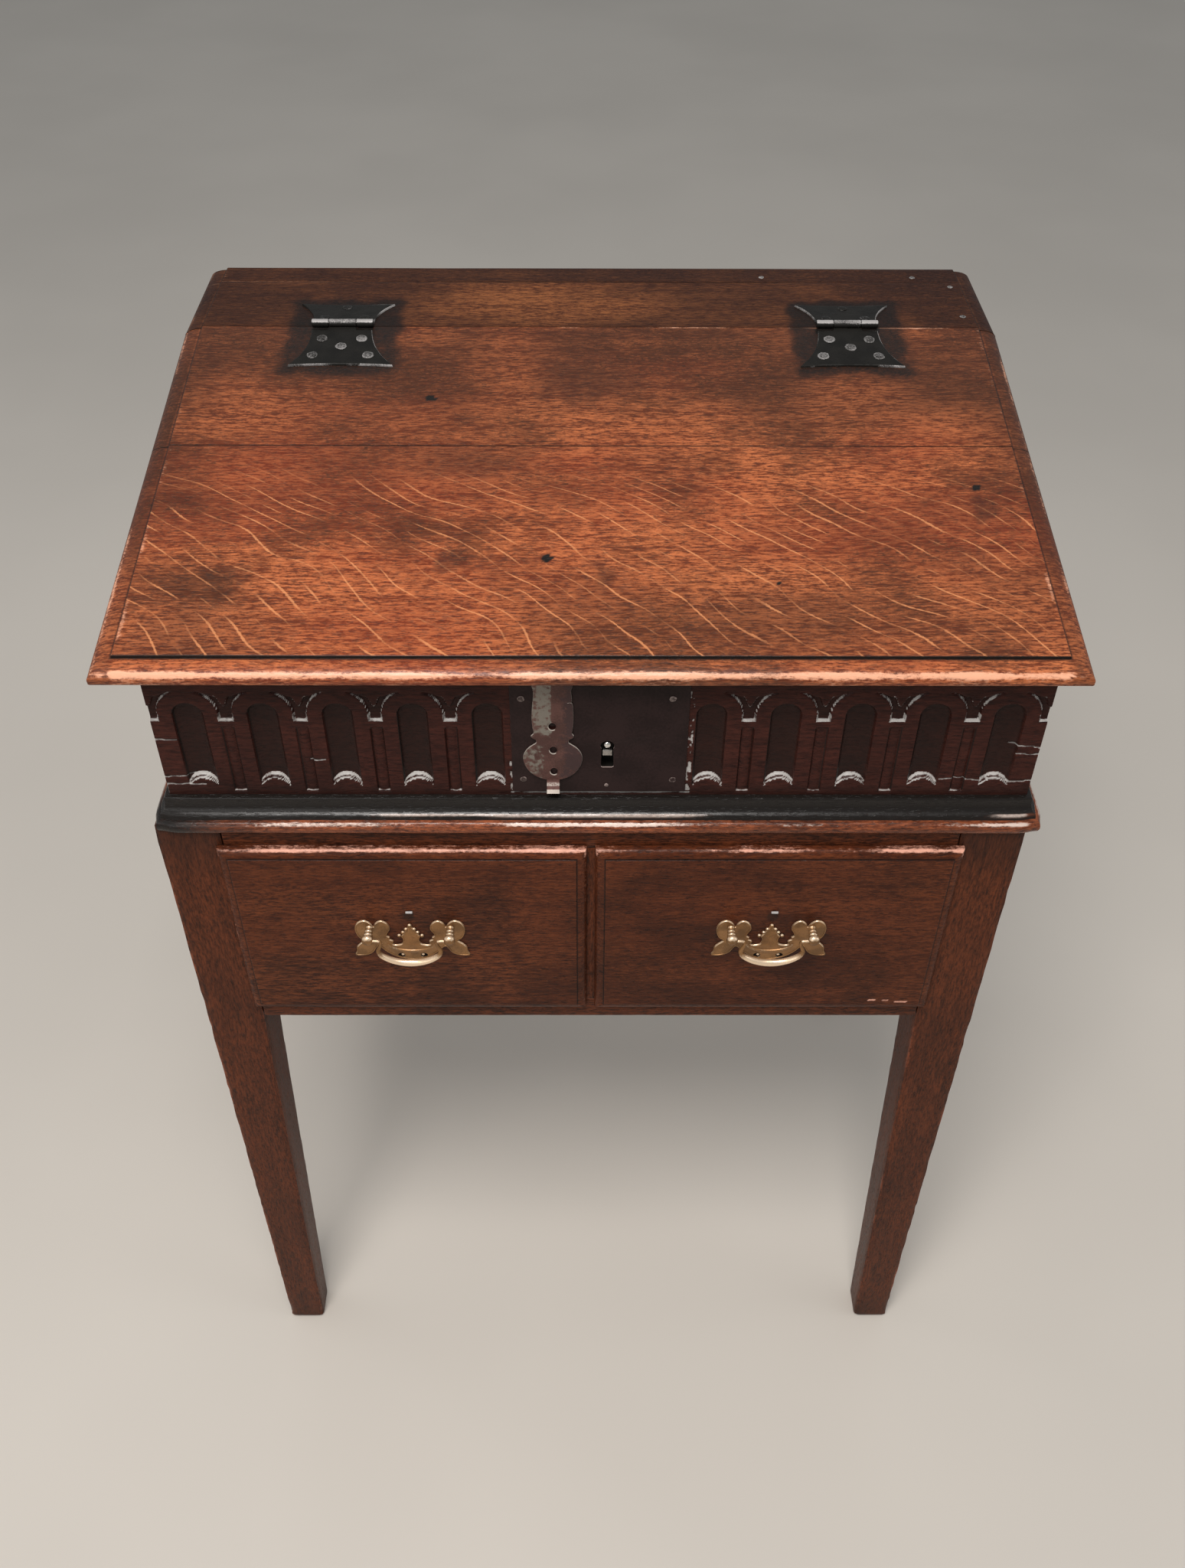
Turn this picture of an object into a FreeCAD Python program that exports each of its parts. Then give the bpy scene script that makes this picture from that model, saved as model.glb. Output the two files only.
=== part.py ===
import FreeCAD, Part

import math
import os

from FreeCAD import Vector

# A slope-topped oak bible box, carved along its front, on an oak stand with two drawers.
# Millimetres. X runs to the right, Y to the back and Z up. The floor is at zero height.
# X zero is the middle of the lid and of the stand, Y zero the middle of the whole depth.

# Stand
stand_width = 695.0
stand_depth = 515.0
stand_height = 802.0
frieze_height = 236.0
leg_top = 53.0
leg_foot_width = 37.0
leg_foot_depth = 34.0
foot_chamfer = 4.0
leg_arris = 1.2
rail_thickness = 22.0
top_rail_height = 20.0
bottom_rail_height = 24.0
muntin_width = 20.0
apron_thickness = 20.0
apron_setback = 1.5
tenon_length = 28.0
tenon_thickness = 8.0
tenon_shoulder = 6.0
tenon_haunch = 18.0

# Drawer frame inside the stand
runner_width = 16.0
runner_height = 20.0
guide_height = 14.0
kicker_height = 18.0

# Drawers
seat_gap = 0.3
drawer_side_gap = 1.0
drawer_top_gap = 1.5
lip_gap = 7.0
lip_overlap = 5.0
lip_overlap_height = 4.0
lip_thickness = 10.0
front_rebate = 13.0
drawer_back_gap = 23.5
drawer_side_thickness = 9.0
drawer_back_thickness = 9.0
drawer_bottom_thickness = 6.0
groove_height = 7.0
groove_depth = 4.5
tail_length = 8.5
tail_height = 30.0
tail_flare = 3.0
tail_count = 3

# Thumb mouldings: width, height of the upright edge, height of the thumb and bottom arris
lip_mould_width = 8.0
lip_mould_edge = 3.0
lip_mould_crest = 8.6
lip_mould_arris = 0.6
lid_mould_width = 16.0
lid_mould_edge = 5.5
lid_mould_crest = 12.6
lid_mould_arris = 2.0

# Box, set in from the faces of the stand
box_front_height = 157.677
box_side_inset = 11.0
box_back_inset = 7.0
box_inset = 10.0
box_shift = 6.0
box_bottom_thickness = 12.0
box_front_thickness = 20.0
box_side_thickness = 18.0
box_back_thickness = 16.0

# Lid, ledge and strip
lid_side_overhang = 12.5
lid_thickness = 15.0
lid_slope = 9.0
lid_overhang = 22.0
lid_rear_board = 163.0
board_joint = 0.4
lid_rest_gap = 0.3
ledge_depth = 93.0
ledge_joint = 0.5
strip_depth = 31.0
strip_overhang = 5.5
strip_corner = 12.0
loose_tenon_width = 38.0
loose_tenon_thickness = 5.0
loose_tenon_length = 44.0
loose_tenon_pitch = 240.0

# Moulding planted round the box where it meets the stand
moulding_height = 30.0
moulding_reach = 16.0
moulding_nose = 12.0
moulding_nose_back = 13.0
moulding_cove_foot = 12.0
moulding_fillet = 5.0
moulding_fillet_height = 4.0

# Carved arcade: rises are from the top of the stand, drops from the top of the front board
flute_count = 5
flute_end_margin = 28.9
first_flute = 84.0
flute_half_width = 11.5
flute_depth = 5.0
flute_edge_depth = 1.4
flute_spring_drop = 47.177
flute_foot_rise = 38.8
flute_tongue = 4.6
dart_half_width = 4.95
dart_foot_rise = 32.8
dart_top_drop = 55.177
dart_depth = 2.6
dart_edge_depth = 0.9
spandrel_drop = 2.5
spandrel_depth = 2.6
spandrel_half_width = 15.0

# Butterfly hinges
hinge_left_inset = 141.0
hinge_right_inset = 133.5
hinge_leaf_thickness = 2.0
hinge_waist = 52.0
hinge_hollow = 6.5
lid_leaf_reach = 56.0
lid_leaf_end = 89.0
ledge_leaf_reach = 47.0
ledge_leaf_end = 86.0
barrel_radius = 3.5
barrel_length = 54.0
barrel_slack = 0.3
hinge_pin_radius = 1.6
pin_clearance = 0.05
leaf_nail_near = 18.0
leaf_nail_middle = 29.5
leaf_nail_far = 42.0
leaf_nail_narrow = 17.5
leaf_nail_wide = 24.5
ledge_nail_near = 14.0
ledge_nail_far = 34.0
nail_head_radius = 3.6
nail_head_height = 1.1
nail_crown_share = 0.5
nail_head_sides = 6
nail_shank_radius = 1.6
nail_length = 9.0
small_nail_head_radius = 2.6
board_nail_front = 22.0
board_nail_back = 84.0
strip_nail_inset = 41.0
strip_nail_middle = 154.0

# Lock: rises are from the top of the stand, the drop from the top of the front board
lock_plate_width = 134.0
lock_plate_rise = 34.5
lock_plate_drop = 9.677
lock_plate_thickness = 1.5
plate_nail_inset = 8.5
plate_nail_rise = 13.5
plate_nail_drop = 19.5
keyhole_x = 6.2
keyhole_rise = 81.5
keyhole_radius = 5.3
keyhole_slot_width = 9.2
keyhole_slot_depth = 21.6
drill_pin_radius = 3.0
drill_pin_inset = 0.8
lock_case_left = 52.0
lock_case_right = 32.0
lock_case_rise = 54.0
lock_case_height = 56.0
lock_case_depth = 12.0
lock_case_wall = 1.5
bolt_height = 8.0
bolt_thickness = 5.0
bolt_length = 46.0
bolt_rise = 87.5
bolt_slack = 0.25
bolt_throw = 8.0
bolt_rib = 2.0
staple_slot_width = 7.0
staple_slot_height = 20.0
spring_thickness = 0.8
spring_length = 30.0

# Hasp, with its rises measured from the top of the stand
hasp_x = -35.5
hasp_thickness = 1.6
hasp_gap = 0.3
hasp_half_width = 15.6
hasp_neck_half_width = 12.6
hasp_bulb_half_width = 22.4
hasp_neck_top_rise = 94.5
hasp_neck_foot_rise = 87.0
hasp_bulb_middle_rise = 71.0
hasp_bulb_foot_rise = 49.0
hasp_lip_half_width = 5.0
hasp_lip_length = 12.0
hasp_lip_angle = 38.0
hasp_hole_radius = 1.9
hasp_hole_sides = 8
hasp_hole_rises = (103.0, 79.5, 57.5)
hasp_nail_share = 0.6
hasp_barrel_radius = 3.0
hasp_barrel_drop = 3.7
hasp_pin_radius = 1.3
hasp_butt_thickness = 1.5
hasp_butt_reach = 11.0

# Handles
post_spacing = 68.0
post_rise = 12.0
post_reach = 14.0
post_neck_radius = 1.9
post_ring_radius = 3.2
post_ring_thickness = 2.0
post_knob_radius = 4.3
post_knob_length = 6.6
post_shank_radius = 2.2
post_sides = 10
knob_slices = 6
post_nut_radius = 6.0
post_nut_thickness = 4.0
handle_plate_thickness = 1.2
handle_plate_half_width = 49.0
bail_pin_radius = 1.2
bail_grip_radius = 2.6
bail_half_width = 22.5
bail_corner = 4.5
bail_drop = 29.5
bail_pin_depth = 2.6
bail_end_gap = 0.2
bail_sections = 10
corner_sections = 3
bail_sides = 10

# Small overrun for cutting tools, and how near two points are to count as one
overrun = 5.0
same_place = 0.001

# Reach of the front-most and the back-most points from the stand's front face
field_reach = seat_gap + lip_thickness
post_axis_reach = field_reach + handle_plate_thickness + post_reach
front_reach = post_axis_reach + post_knob_length / 2 * math.cos(math.pi / knob_slices)
back_reach = stand_depth + strip_overhang
hinge_reach = back_reach - strip_depth - ledge_depth - ledge_joint
hinge_depth = hinge_reach - box_inset

# Planes that the pieces share
front_y = (front_reach - back_reach) / 2
back_y = front_y + stand_depth
side_x = stand_width / 2
opening_x = side_x - leg_top
frieze_bottom = stand_height - frieze_height
opening_bottom = frieze_bottom + bottom_rail_height
opening_top = stand_height - top_rail_height
rail_back_y = front_y + rail_thickness
apron_back_y = back_y - apron_setback - apron_thickness
drawer_depth = stand_depth - apron_setback - apron_thickness - drawer_back_gap
post_height = (opening_bottom + opening_top) / 2 + post_rise
box_width = stand_width - 2 * box_side_inset
lid_width = stand_width + 2 * lid_side_overhang
box_front_y = front_y + box_inset
box_back_y = back_y - box_back_inset
box_left = box_shift - box_width / 2
box_right = box_shift + box_width / 2
board_foot = stand_height + box_bottom_thickness
hinge_y = front_y + hinge_reach
hinge_left_x = hinge_left_inset - lid_width / 2
hinge_right_x = lid_width / 2 - hinge_right_inset
slope_tan = math.tan(math.radians(lid_slope))
slope_cos = math.cos(math.radians(lid_slope))
front_top = stand_height + box_front_height
ledge_top = front_top + hinge_depth * slope_tan + lid_thickness / slope_cos
ledge_foot = ledge_top - lid_thickness

# Places on the front board
flute_spring = front_top - flute_spring_drop
flute_foot = stand_height + flute_foot_rise
flute_pitch = (box_width / 2 - first_flute - flute_end_margin) / (flute_count - 1)
arch_radius = flute_pitch / 2 - dart_half_width
dart_foot = stand_height + dart_foot_rise
dart_top = front_top - dart_top_drop
lock_plate_bottom = stand_height + lock_plate_rise
lock_plate_height = box_front_height - lock_plate_rise - lock_plate_drop
keyhole_z = stand_height + keyhole_rise
lock_case_bottom = stand_height + lock_case_rise
lock_case_top = lock_case_bottom + lock_case_height
bolt_bottom = stand_height + bolt_rise
hasp_neck_top = stand_height + hasp_neck_top_rise
hasp_neck_foot = stand_height + hasp_neck_foot_rise
hasp_bulb_middle = stand_height + hasp_bulb_middle_rise
hasp_bulb_foot = stand_height + hasp_bulb_foot_rise

along_x = Vector(1, 0, 0)
along_y = Vector(0, 1, 0)
along_z = Vector(0, 0, 1)


def save(name, shape):
    """Write one node."""
    shape.exportStep("parts/" + name + ".step")


def block(x0, x1, y0, y1, z0, z1):
    """A box between two corners."""
    return Part.makeBox(x1 - x0, y1 - y0, z1 - z0, Vector(x0, y0, z0))


def cylinder(centre, radius, length, direction):
    return Part.makeCylinder(radius, length, centre, direction)


def outline(place, steps):
    """A face from steps: a point goes on by a line, a pair of points by an arc."""
    edges = []
    last = place(*steps[0])
    for step in steps[1:]:
        if isinstance(step[0], tuple):
            middle, end = place(*step[0]), place(*step[1])
            edges.append(Part.Arc(last, middle, end).toShape())
        else:
            end = place(*step)
            edges.append(Part.LineSegment(last, end).toShape())
        last = end
    first = place(*steps[0])
    if not last.isEqual(first, same_place):
        edges.append(Part.LineSegment(last, first).toShape())
    return Part.Face(Part.Wire(edges))


def prism(place, steps, sweep):
    """A face from an outline, swept along a vector."""
    return outline(place, steps).extrude(sweep)


def on_xz(y):
    return lambda a, b: Vector(a, y, b)


def on_yz(x):
    return lambda a, b: Vector(x, a, b)


def on_xy(z):
    return lambda a, b: Vector(a, b, z)


def fused(shapes):
    whole = shapes[0]
    for shape in shapes[1:]:
        whole = whole.fuse(shape)
    return whole.removeSplitter()


def without(shape, tools):
    """Cut every tool from a shape."""
    for tool in tools:
        shape = shape.cut(tool)
    return shape


def thumb_steps(edge, inward, reach, thickness, mould):
    """Section of a board with a thumb moulding on one edge and a plain far side."""
    width, upright, crest, arris = mould
    bend = 1 - math.sqrt(2) / 2
    rise = crest - upright
    return [
        (edge + inward * arris, 0), (edge, arris), (edge, upright),
        ((edge + inward * width * bend, upright + rise * (1 - bend)), (edge + inward * width, crest)),
        (edge + inward * width, thickness),
        (edge + inward * reach, thickness),
        (edge + inward * reach, 0),
    ]


def ring(centre, radius, sides, across, up):
    """A closed polygon round a centre, spanned by two directions."""
    corners = []
    for corner in range(sides):
        turn = 2 * math.pi * (corner + 1 / 2) / sides
        corners.append(centre + across * (radius * math.cos(turn)) + up * (radius * math.sin(turn)))
    return Part.makePolygon(corners + corners[:1])


def rod(start, radius, sides, across, up, sweep):
    """A straight many-sided rod."""
    return Part.Face(ring(start, radius, sides, across, up)).extrude(sweep)


def nail(head_radius, length):
    """A forged nail: a many-sided head on zero height and a square shank below."""
    crown = head_radius * nail_crown_share
    head = Part.makeLoft([
        ring(Vector(0, 0, 0), head_radius, nail_head_sides, along_x, along_y),
        ring(Vector(0, 0, nail_head_height), crown, nail_head_sides, along_x, along_y),
    ], True, True)
    shank = rod(Vector(0, 0, 0), nail_shank_radius, 4, along_x, along_y, Vector(0, 0, -length))
    return head.fuse(shank).removeSplitter()


def lay_on_slope(shape):
    """Tip a shape that was made level about the hinge line, front edge down."""
    shape.rotate(Vector(0, hinge_y, ledge_top), along_x, lid_slope)
    return shape


def lid_underside(y):
    """Height of the lid's underside above a place on the Y axis."""
    return ledge_top - (hinge_y - y) * slope_tan - lid_thickness / slope_cos


# Stand

def leg(side, front):
    """Square above the frieze line, tapering on its two inner faces to the foot."""
    outer = side * side_x
    inner = outer - side * leg_top
    toe = outer - side * leg_foot_width
    face = front_y if front else back_y
    deep = 1 if front else -1
    across = prism(on_xz(front_y - overrun), [
        (outer - side * foot_chamfer, 0), (outer, foot_chamfer), (outer, stand_height),
        (inner, stand_height), (inner, frieze_bottom), (toe, foot_chamfer),
        (toe + side * foot_chamfer, 0),
    ], Vector(0, stand_depth + 2 * overrun, 0))
    along = prism(on_yz(-side_x - overrun), [
        (face + deep * foot_chamfer, 0), (face, foot_chamfer), (face, stand_height),
        (face + deep * leg_top, stand_height), (face + deep * leg_top, frieze_bottom),
        (face + deep * leg_foot_depth, foot_chamfer),
        (face + deep * (leg_foot_depth - foot_chamfer), 0),
    ], Vector(stand_width + 2 * overrun, 0, 0))
    return soften_leg(across.common(along), outer, face)


def soften_leg(shape, outer, face):
    """Ease the outer corner of a leg below the moulding."""
    corner = [
        edge for edge in shape.Edges
        if abs(edge.CenterOfMass.x - outer) < leg_arris and abs(edge.CenterOfMass.y - face) < leg_arris
        and edge.Length > leg_top
    ]
    return shape.makeFillet(leg_arris, corner)


def front_rail(bottom, height):
    """A rail between the front legs, with a tenon in each."""
    rail = block(-opening_x, opening_x, front_y, rail_back_y, bottom, bottom + height)
    tenon_y = front_y + tenon_shoulder
    shoulder = (height - min(height, tenon_haunch)) / 2
    tenon = block(
        -opening_x - tenon_length, opening_x + tenon_length, tenon_y, tenon_y + tenon_thickness,
        bottom + shoulder, bottom + height - shoulder,
    )
    return fused([rail, tenon])


def side_apron(side):
    """A side of the frieze, tenoned into the front and the back leg."""
    outer = side * (side_x - apron_setback)
    inner = outer - side * apron_thickness
    tenon_outer = outer - side * tenon_shoulder
    tenon_inner = tenon_outer - side * tenon_thickness
    board = block(
        min(outer, inner), max(outer, inner), front_y + leg_top, back_y - leg_top,
        frieze_bottom, stand_height,
    )
    tenon = block(
        min(tenon_outer, tenon_inner), max(tenon_outer, tenon_inner),
        front_y + leg_top - tenon_length, back_y - leg_top + tenon_length,
        frieze_bottom + tenon_haunch, stand_height - tenon_haunch,
    )
    return fused([board, tenon])


def back_apron():
    board = block(
        -opening_x, opening_x, apron_back_y, apron_back_y + apron_thickness,
        frieze_bottom, stand_height,
    )
    tenon_y = apron_back_y + tenon_shoulder
    tenon = block(
        -opening_x - tenon_length, opening_x + tenon_length, tenon_y, tenon_y + tenon_thickness,
        frieze_bottom + tenon_haunch, stand_height - tenon_haunch,
    )
    return fused([board, tenon])


def side_runner(side):
    """Runner and guide in one, under the outer side of a drawer."""
    lane = side * opening_x
    edge = lane - side * runner_width
    wall = side * (side_x - apron_setback - apron_thickness)
    runner = block(
        min(lane, edge), max(lane, edge), rail_back_y, apron_back_y,
        opening_bottom - runner_height, opening_bottom,
    )
    guide = block(
        min(lane, wall), max(lane, wall), front_y + leg_top, back_y - leg_top,
        opening_bottom - runner_height, opening_bottom + guide_height,
    )
    return fused([runner, guide])


def centre_runner():
    half = muntin_width / 2 + runner_width
    runner = block(
        -half, half, rail_back_y, apron_back_y, opening_bottom - runner_height, opening_bottom,
    )
    guide = block(
        -muntin_width / 2, muntin_width / 2, rail_back_y, apron_back_y,
        opening_bottom, opening_bottom + guide_height,
    )
    return fused([runner, guide])


def make_stand():
    top_rail = front_rail(opening_top, top_rail_height)
    bottom_rail = front_rail(frieze_bottom, bottom_rail_height)
    aprons = {"left": side_apron(-1), "right": side_apron(1)}
    back = back_apron()
    for name, side in (("left", -1), ("right", 1)):
        joined = [top_rail, bottom_rail, aprons[name], back]
        save("leg_front_" + name, without(leg(side, True), joined))
        save("leg_back_" + name, without(leg(side, False), joined))
        save("apron_" + name, aprons[name])
        save("drawer_runner_" + name, side_runner(side))
    save("apron_back", back)
    save("top_front_rail", top_rail)
    save("bottom_front_rail", bottom_rail)
    half = muntin_width / 2
    save("drawer_muntin", block(-half, half, front_y, rail_back_y, opening_bottom, opening_top))
    save("drawer_runner_centre", centre_runner())
    kicker_half = half + runner_width
    save("drawer_kicker", block(
        -kicker_half, kicker_half, rail_back_y, apron_back_y, opening_top, opening_top + kicker_height,
    ))


# Moulding round the foot of the box

def moulding_steps(origin, outward, foot):
    """Half-round nose, cove and top fillet, measured out from the box's face."""
    nose = origin + outward * moulding_nose_back
    cove_out = origin + outward * moulding_cove_foot
    cove_in = origin + outward * moulding_fillet
    cove_low = foot + moulding_nose
    cove_high = foot + moulding_height - moulding_fillet_height
    hollow_share = 0.3
    return [
        (origin, foot), (nose, foot),
        ((origin + outward * moulding_reach, foot + moulding_nose / 2), (nose, cove_low)),
        (cove_out, cove_low),
        ((cove_out + (cove_in - cove_out) * (1 - hollow_share),
          cove_low + (cove_high - cove_low) * hollow_share), (cove_in, cove_high)),
        (cove_in, foot + moulding_height), (origin, foot + moulding_height),
    ]


def make_moulding():
    reach = moulding_reach
    low, high = stand_height - overrun, moulding_height + 2 * overrun
    front = prism(
        on_yz(box_left - reach), moulding_steps(box_front_y, -1, stand_height),
        Vector(box_width + 2 * reach, 0, 0),
    )
    mitre = prism(on_xy(low), [
        (box_left - reach, box_front_y - reach), (box_right + reach, box_front_y - reach),
        (box_right, box_front_y), (box_left, box_front_y),
    ], Vector(0, 0, high))
    save("base_moulding_front", front.common(mitre))
    for name, edge, outward in (("left", box_left, -1), ("right", box_right, 1)):
        bar = prism(
            on_xz(box_front_y - reach), moulding_steps(edge, outward, stand_height),
            Vector(0, back_y - box_front_y + reach, 0),
        )
        mitre = prism(on_xy(low), [
            (edge + outward * reach, box_front_y - reach), (edge, box_front_y),
            (edge, back_y), (edge + outward * reach, back_y),
        ], Vector(0, 0, high))
        save("base_moulding_" + name, bar.common(mitre))


# Carved front

def hollow(x, half_width, depth, edge_depth, steps):
    """A gouged channel: an outline sunk to a hollow floor."""
    rise = depth - edge_depth
    radius = (half_width ** 2 + rise ** 2) / (2 * rise)
    tool = prism(on_xz(box_front_y - overrun), steps, Vector(0, depth + overrun + overrun, 0))
    axis = Vector(x, box_front_y + depth - radius, stand_height - overrun)
    return tool.common(cylinder(axis, radius, ledge_top - stand_height, along_z))


def flute(x):
    """Round-headed flute that ends on a rounded tongue."""
    w = flute_half_width
    return hollow(x, w, flute_depth, flute_edge_depth, [
        (x - w, flute_foot), ((x, flute_foot + flute_tongue), (x + w, flute_foot)),
        (x + w, flute_spring), ((x, flute_spring + w), (x - w, flute_spring)),
    ])


def dart(x):
    """Narrow stopped channel between two arches."""
    w = dart_half_width
    return hollow(x, w, dart_depth, dart_edge_depth, [
        (x - w, dart_foot), (x + w, dart_foot), (x + w, dart_top), (x - w, dart_top),
    ])


def spandrel(x):
    """Sunk bracket between the backs of two arches."""
    half_pitch = flute_pitch / 2
    foot = half_pitch - arch_radius
    low = flute_spring - spandrel_drop
    out = half_pitch - spandrel_half_width
    high = flute_spring + math.sqrt(arch_radius ** 2 - out ** 2)
    turn = math.acos(out / arch_radius) / 2
    mid_x = half_pitch - arch_radius * math.cos(turn)
    mid_z = flute_spring + arch_radius * math.sin(turn)
    steps = [
        (x - foot, low), (x + foot, low), (x + foot, flute_spring),
        ((x + mid_x, mid_z), (x + spandrel_half_width, high)),
        (x - spandrel_half_width, high),
        ((x - mid_x, mid_z), (x - foot, flute_spring)),
    ]
    return prism(on_xz(box_front_y - overrun), steps, Vector(0, spandrel_depth + overrun, 0))


def carved_front(tools):
    """The front board: carved, and mortised for the lock."""
    back = box_front_y + box_front_thickness
    board = prism(on_yz(box_left), [
        (box_front_y, board_foot), (back, board_foot),
        (back, lid_underside(back) - lid_rest_gap),
        (box_front_y, lid_underside(box_front_y) - lid_rest_gap),
    ], Vector(box_width, 0, 0))
    for side in (-1, 1):
        for bay in range(flute_count):
            middle = box_shift + side * (first_flute + bay * flute_pitch)
            boundary = middle + side * flute_pitch / 2
            board = board.cut(flute(middle)).cut(spandrel(boundary))
            if bay < flute_count - 1:
                board = board.cut(dart(boundary))
    return without(board, tools)


def make_box(front_tools, top_tools):
    board_back = box_front_y + box_front_thickness
    back_front = box_back_y - box_back_thickness
    save("box_bottom_board", block(
        box_left, box_right, box_front_y, box_back_y, stand_height, board_foot,
    ))
    save("carved_front_board", carved_front(front_tools))
    for name, x in (("left", box_left), ("right", box_right - box_side_thickness)):
        board = prism(on_yz(x), [
            (board_back, board_foot), (back_front, board_foot), (back_front, ledge_foot),
            (hinge_y + ledge_joint, ledge_foot),
            (hinge_y + ledge_joint, lid_underside(hinge_y) - lid_rest_gap),
            (board_back, lid_underside(board_back) - lid_rest_gap),
        ], Vector(box_side_thickness, 0, 0))
        save("box_side_" + name, without(board, top_tools))
    back_board = block(box_left, box_right, back_front, box_back_y, board_foot, ledge_foot)
    save("box_back_board", without(back_board, top_tools))


# Lid, ledge and back strip

def moulded_top(y0, y1, front_mould):
    """A level board with thumb mouldings on both ends and perhaps along its front."""
    mould = (lid_mould_width, lid_mould_edge, lid_mould_crest, lid_mould_arris)
    half = lid_width / 2
    foot = ledge_foot

    def across(a, b):
        return Vector(a, y0 - overrun, foot + b)

    sweep = Vector(0, y1 - y0 + 2 * overrun, 0)
    shape = prism(across, thumb_steps(-half, 1, lid_width + overrun, lid_thickness, mould), sweep)
    shape = shape.common(prism(
        across, thumb_steps(half, -1, lid_width + overrun, lid_thickness, mould), sweep,
    ))
    if not front_mould:
        return shape.common(block(-half, half, y0, y1, foot, ledge_top))

    def along(a, b):
        return Vector(-half - overrun, a, foot + b)

    return shape.common(prism(
        along, thumb_steps(y0, 1, y1 - y0, lid_thickness, mould),
        Vector(lid_width + 2 * overrun, 0, 0),
    ))


def lid_length():
    return (hinge_depth + lid_overhang) / slope_cos


def make_lid(lid_tools, ledge_tools):
    half = lid_width / 2
    front = hinge_y - lid_length()
    joint = hinge_y - lid_rear_board
    whole = moulded_top(front, hinge_y + lid_thickness, True)
    width, length = loose_tenon_width / 2, loose_tenon_length / 2
    middle = ledge_top - lid_thickness / 2
    tenons = [
        block(
            x - width, x + width, joint - length, joint + length,
            middle - loose_tenon_thickness / 2, middle + loose_tenon_thickness / 2,
        )
        for x in (-loose_tenon_pitch, 0, loose_tenon_pitch)
    ]
    front_part = block(-half, half, front, joint - board_joint / 2, ledge_foot, ledge_top)
    rear_part = block(
        -half, half, joint + board_joint / 2, hinge_y + lid_thickness, ledge_foot, ledge_top,
    )
    plumb = block(-half, half, front, hinge_y, stand_height, ledge_top)
    front_board = lay_on_slope(without(whole.common(front_part), tenons))
    rear_board = lay_on_slope(without(whole.common(rear_part), tenons)).common(plumb)
    save("lid_front_board", without(front_board, lid_tools))
    save("lid_rear_board", without(rear_board, lid_tools))
    save("lid_loose_tenons", lay_on_slope(Part.makeCompound(tenons)))

    ledge_front = hinge_y + ledge_joint
    strip_front = ledge_front + ledge_depth
    ledge = moulded_top(ledge_front, strip_front, False)
    save("ledge_board", without(ledge, ledge_tools))
    strip_back = strip_front + strip_depth
    strip = moulded_top(strip_front, strip_back, False)
    bend = strip_corner * (1 - math.sqrt(2) / 2)
    plan = prism(on_xy(ledge_foot), [
        (-half, strip_front), (half, strip_front), (half, strip_back - strip_corner),
        ((half - bend, strip_back - bend), (half - strip_corner, strip_back)),
        (-half + strip_corner, strip_back),
        ((-half + bend, strip_back - bend), (-half, strip_back - strip_corner)),
    ], Vector(0, 0, lid_thickness))
    save("ledge_back_strip", without(strip.common(plan), ledge_tools))


# Hinges

def leaf(x, reach, end, direction, knuckles):
    """Half a butterfly: hollow-sided plate that flares away from the hinge line."""
    waist = hinge_waist / 2
    tip = end / 2
    middle = (waist + tip) / 2 - hinge_hollow
    y = hinge_y
    away = y + direction * reach
    plate = prism(on_xy(ledge_top), [
        (x - waist, y), (x + waist, y),
        ((x + middle, (y + away) / 2), (x + tip, away)),
        ((x, away - direction * hinge_hollow / 3), (x - tip, away)),
        ((x - middle, (y + away) / 2), (x - waist, y)),
    ], Vector(0, 0, hinge_leaf_thickness))
    if direction < 0:
        plate = lay_on_slope(plate)
    centre_z = ledge_top + barrel_radius
    segment = barrel_length / 3
    clear = barrel_radius + barrel_slack
    near, far = min(y + direction * clear, y), max(y + direction * clear, y)
    for place in range(3):
        start = Vector(x - barrel_length / 2 + place * segment, y, centre_z)
        if place in knuckles:
            start.x += barrel_slack / 2
            plate = plate.fuse(cylinder(start, barrel_radius, segment - barrel_slack, along_x))
        else:
            plate = plate.cut(block(
                start.x - barrel_slack / 2, start.x + segment + barrel_slack / 2, near, far,
                ledge_top - overrun, centre_z,
            ))
    bore_start = Vector(x - barrel_length, y, centre_z)
    bore = cylinder(bore_start, hinge_pin_radius + pin_clearance, 2 * barrel_length, along_x)
    return plate.cut(bore).removeSplitter()


def nails_at(places, height, head_radius, length):
    """Nails standing on a level face."""
    made = []
    for x, y in places:
        one = nail(head_radius, length)
        one.translate(Vector(x, y, height))
        made.append(one)
    return made


def lid_leaf_nails(x):
    """Five nails like the five on a die, closer together at the hinge line."""
    places = [
        (x - leaf_nail_narrow, hinge_y - leaf_nail_near),
        (x + leaf_nail_narrow, hinge_y - leaf_nail_near),
        (x, hinge_y - leaf_nail_middle),
        (x - leaf_nail_wide, hinge_y - leaf_nail_far),
        (x + leaf_nail_wide, hinge_y - leaf_nail_far),
    ]
    height = ledge_top + hinge_leaf_thickness
    return [lay_on_slope(one) for one in nails_at(places, height, nail_head_radius, nail_length)]


def ledge_leaf_nails(x):
    places = [
        (x - leaf_nail_narrow, hinge_y + ledge_nail_near),
        (x + leaf_nail_narrow, hinge_y + ledge_nail_near),
        (x, hinge_y + ledge_nail_far),
    ]
    return nails_at(places, ledge_top + hinge_leaf_thickness, nail_head_radius, nail_length)


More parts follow.
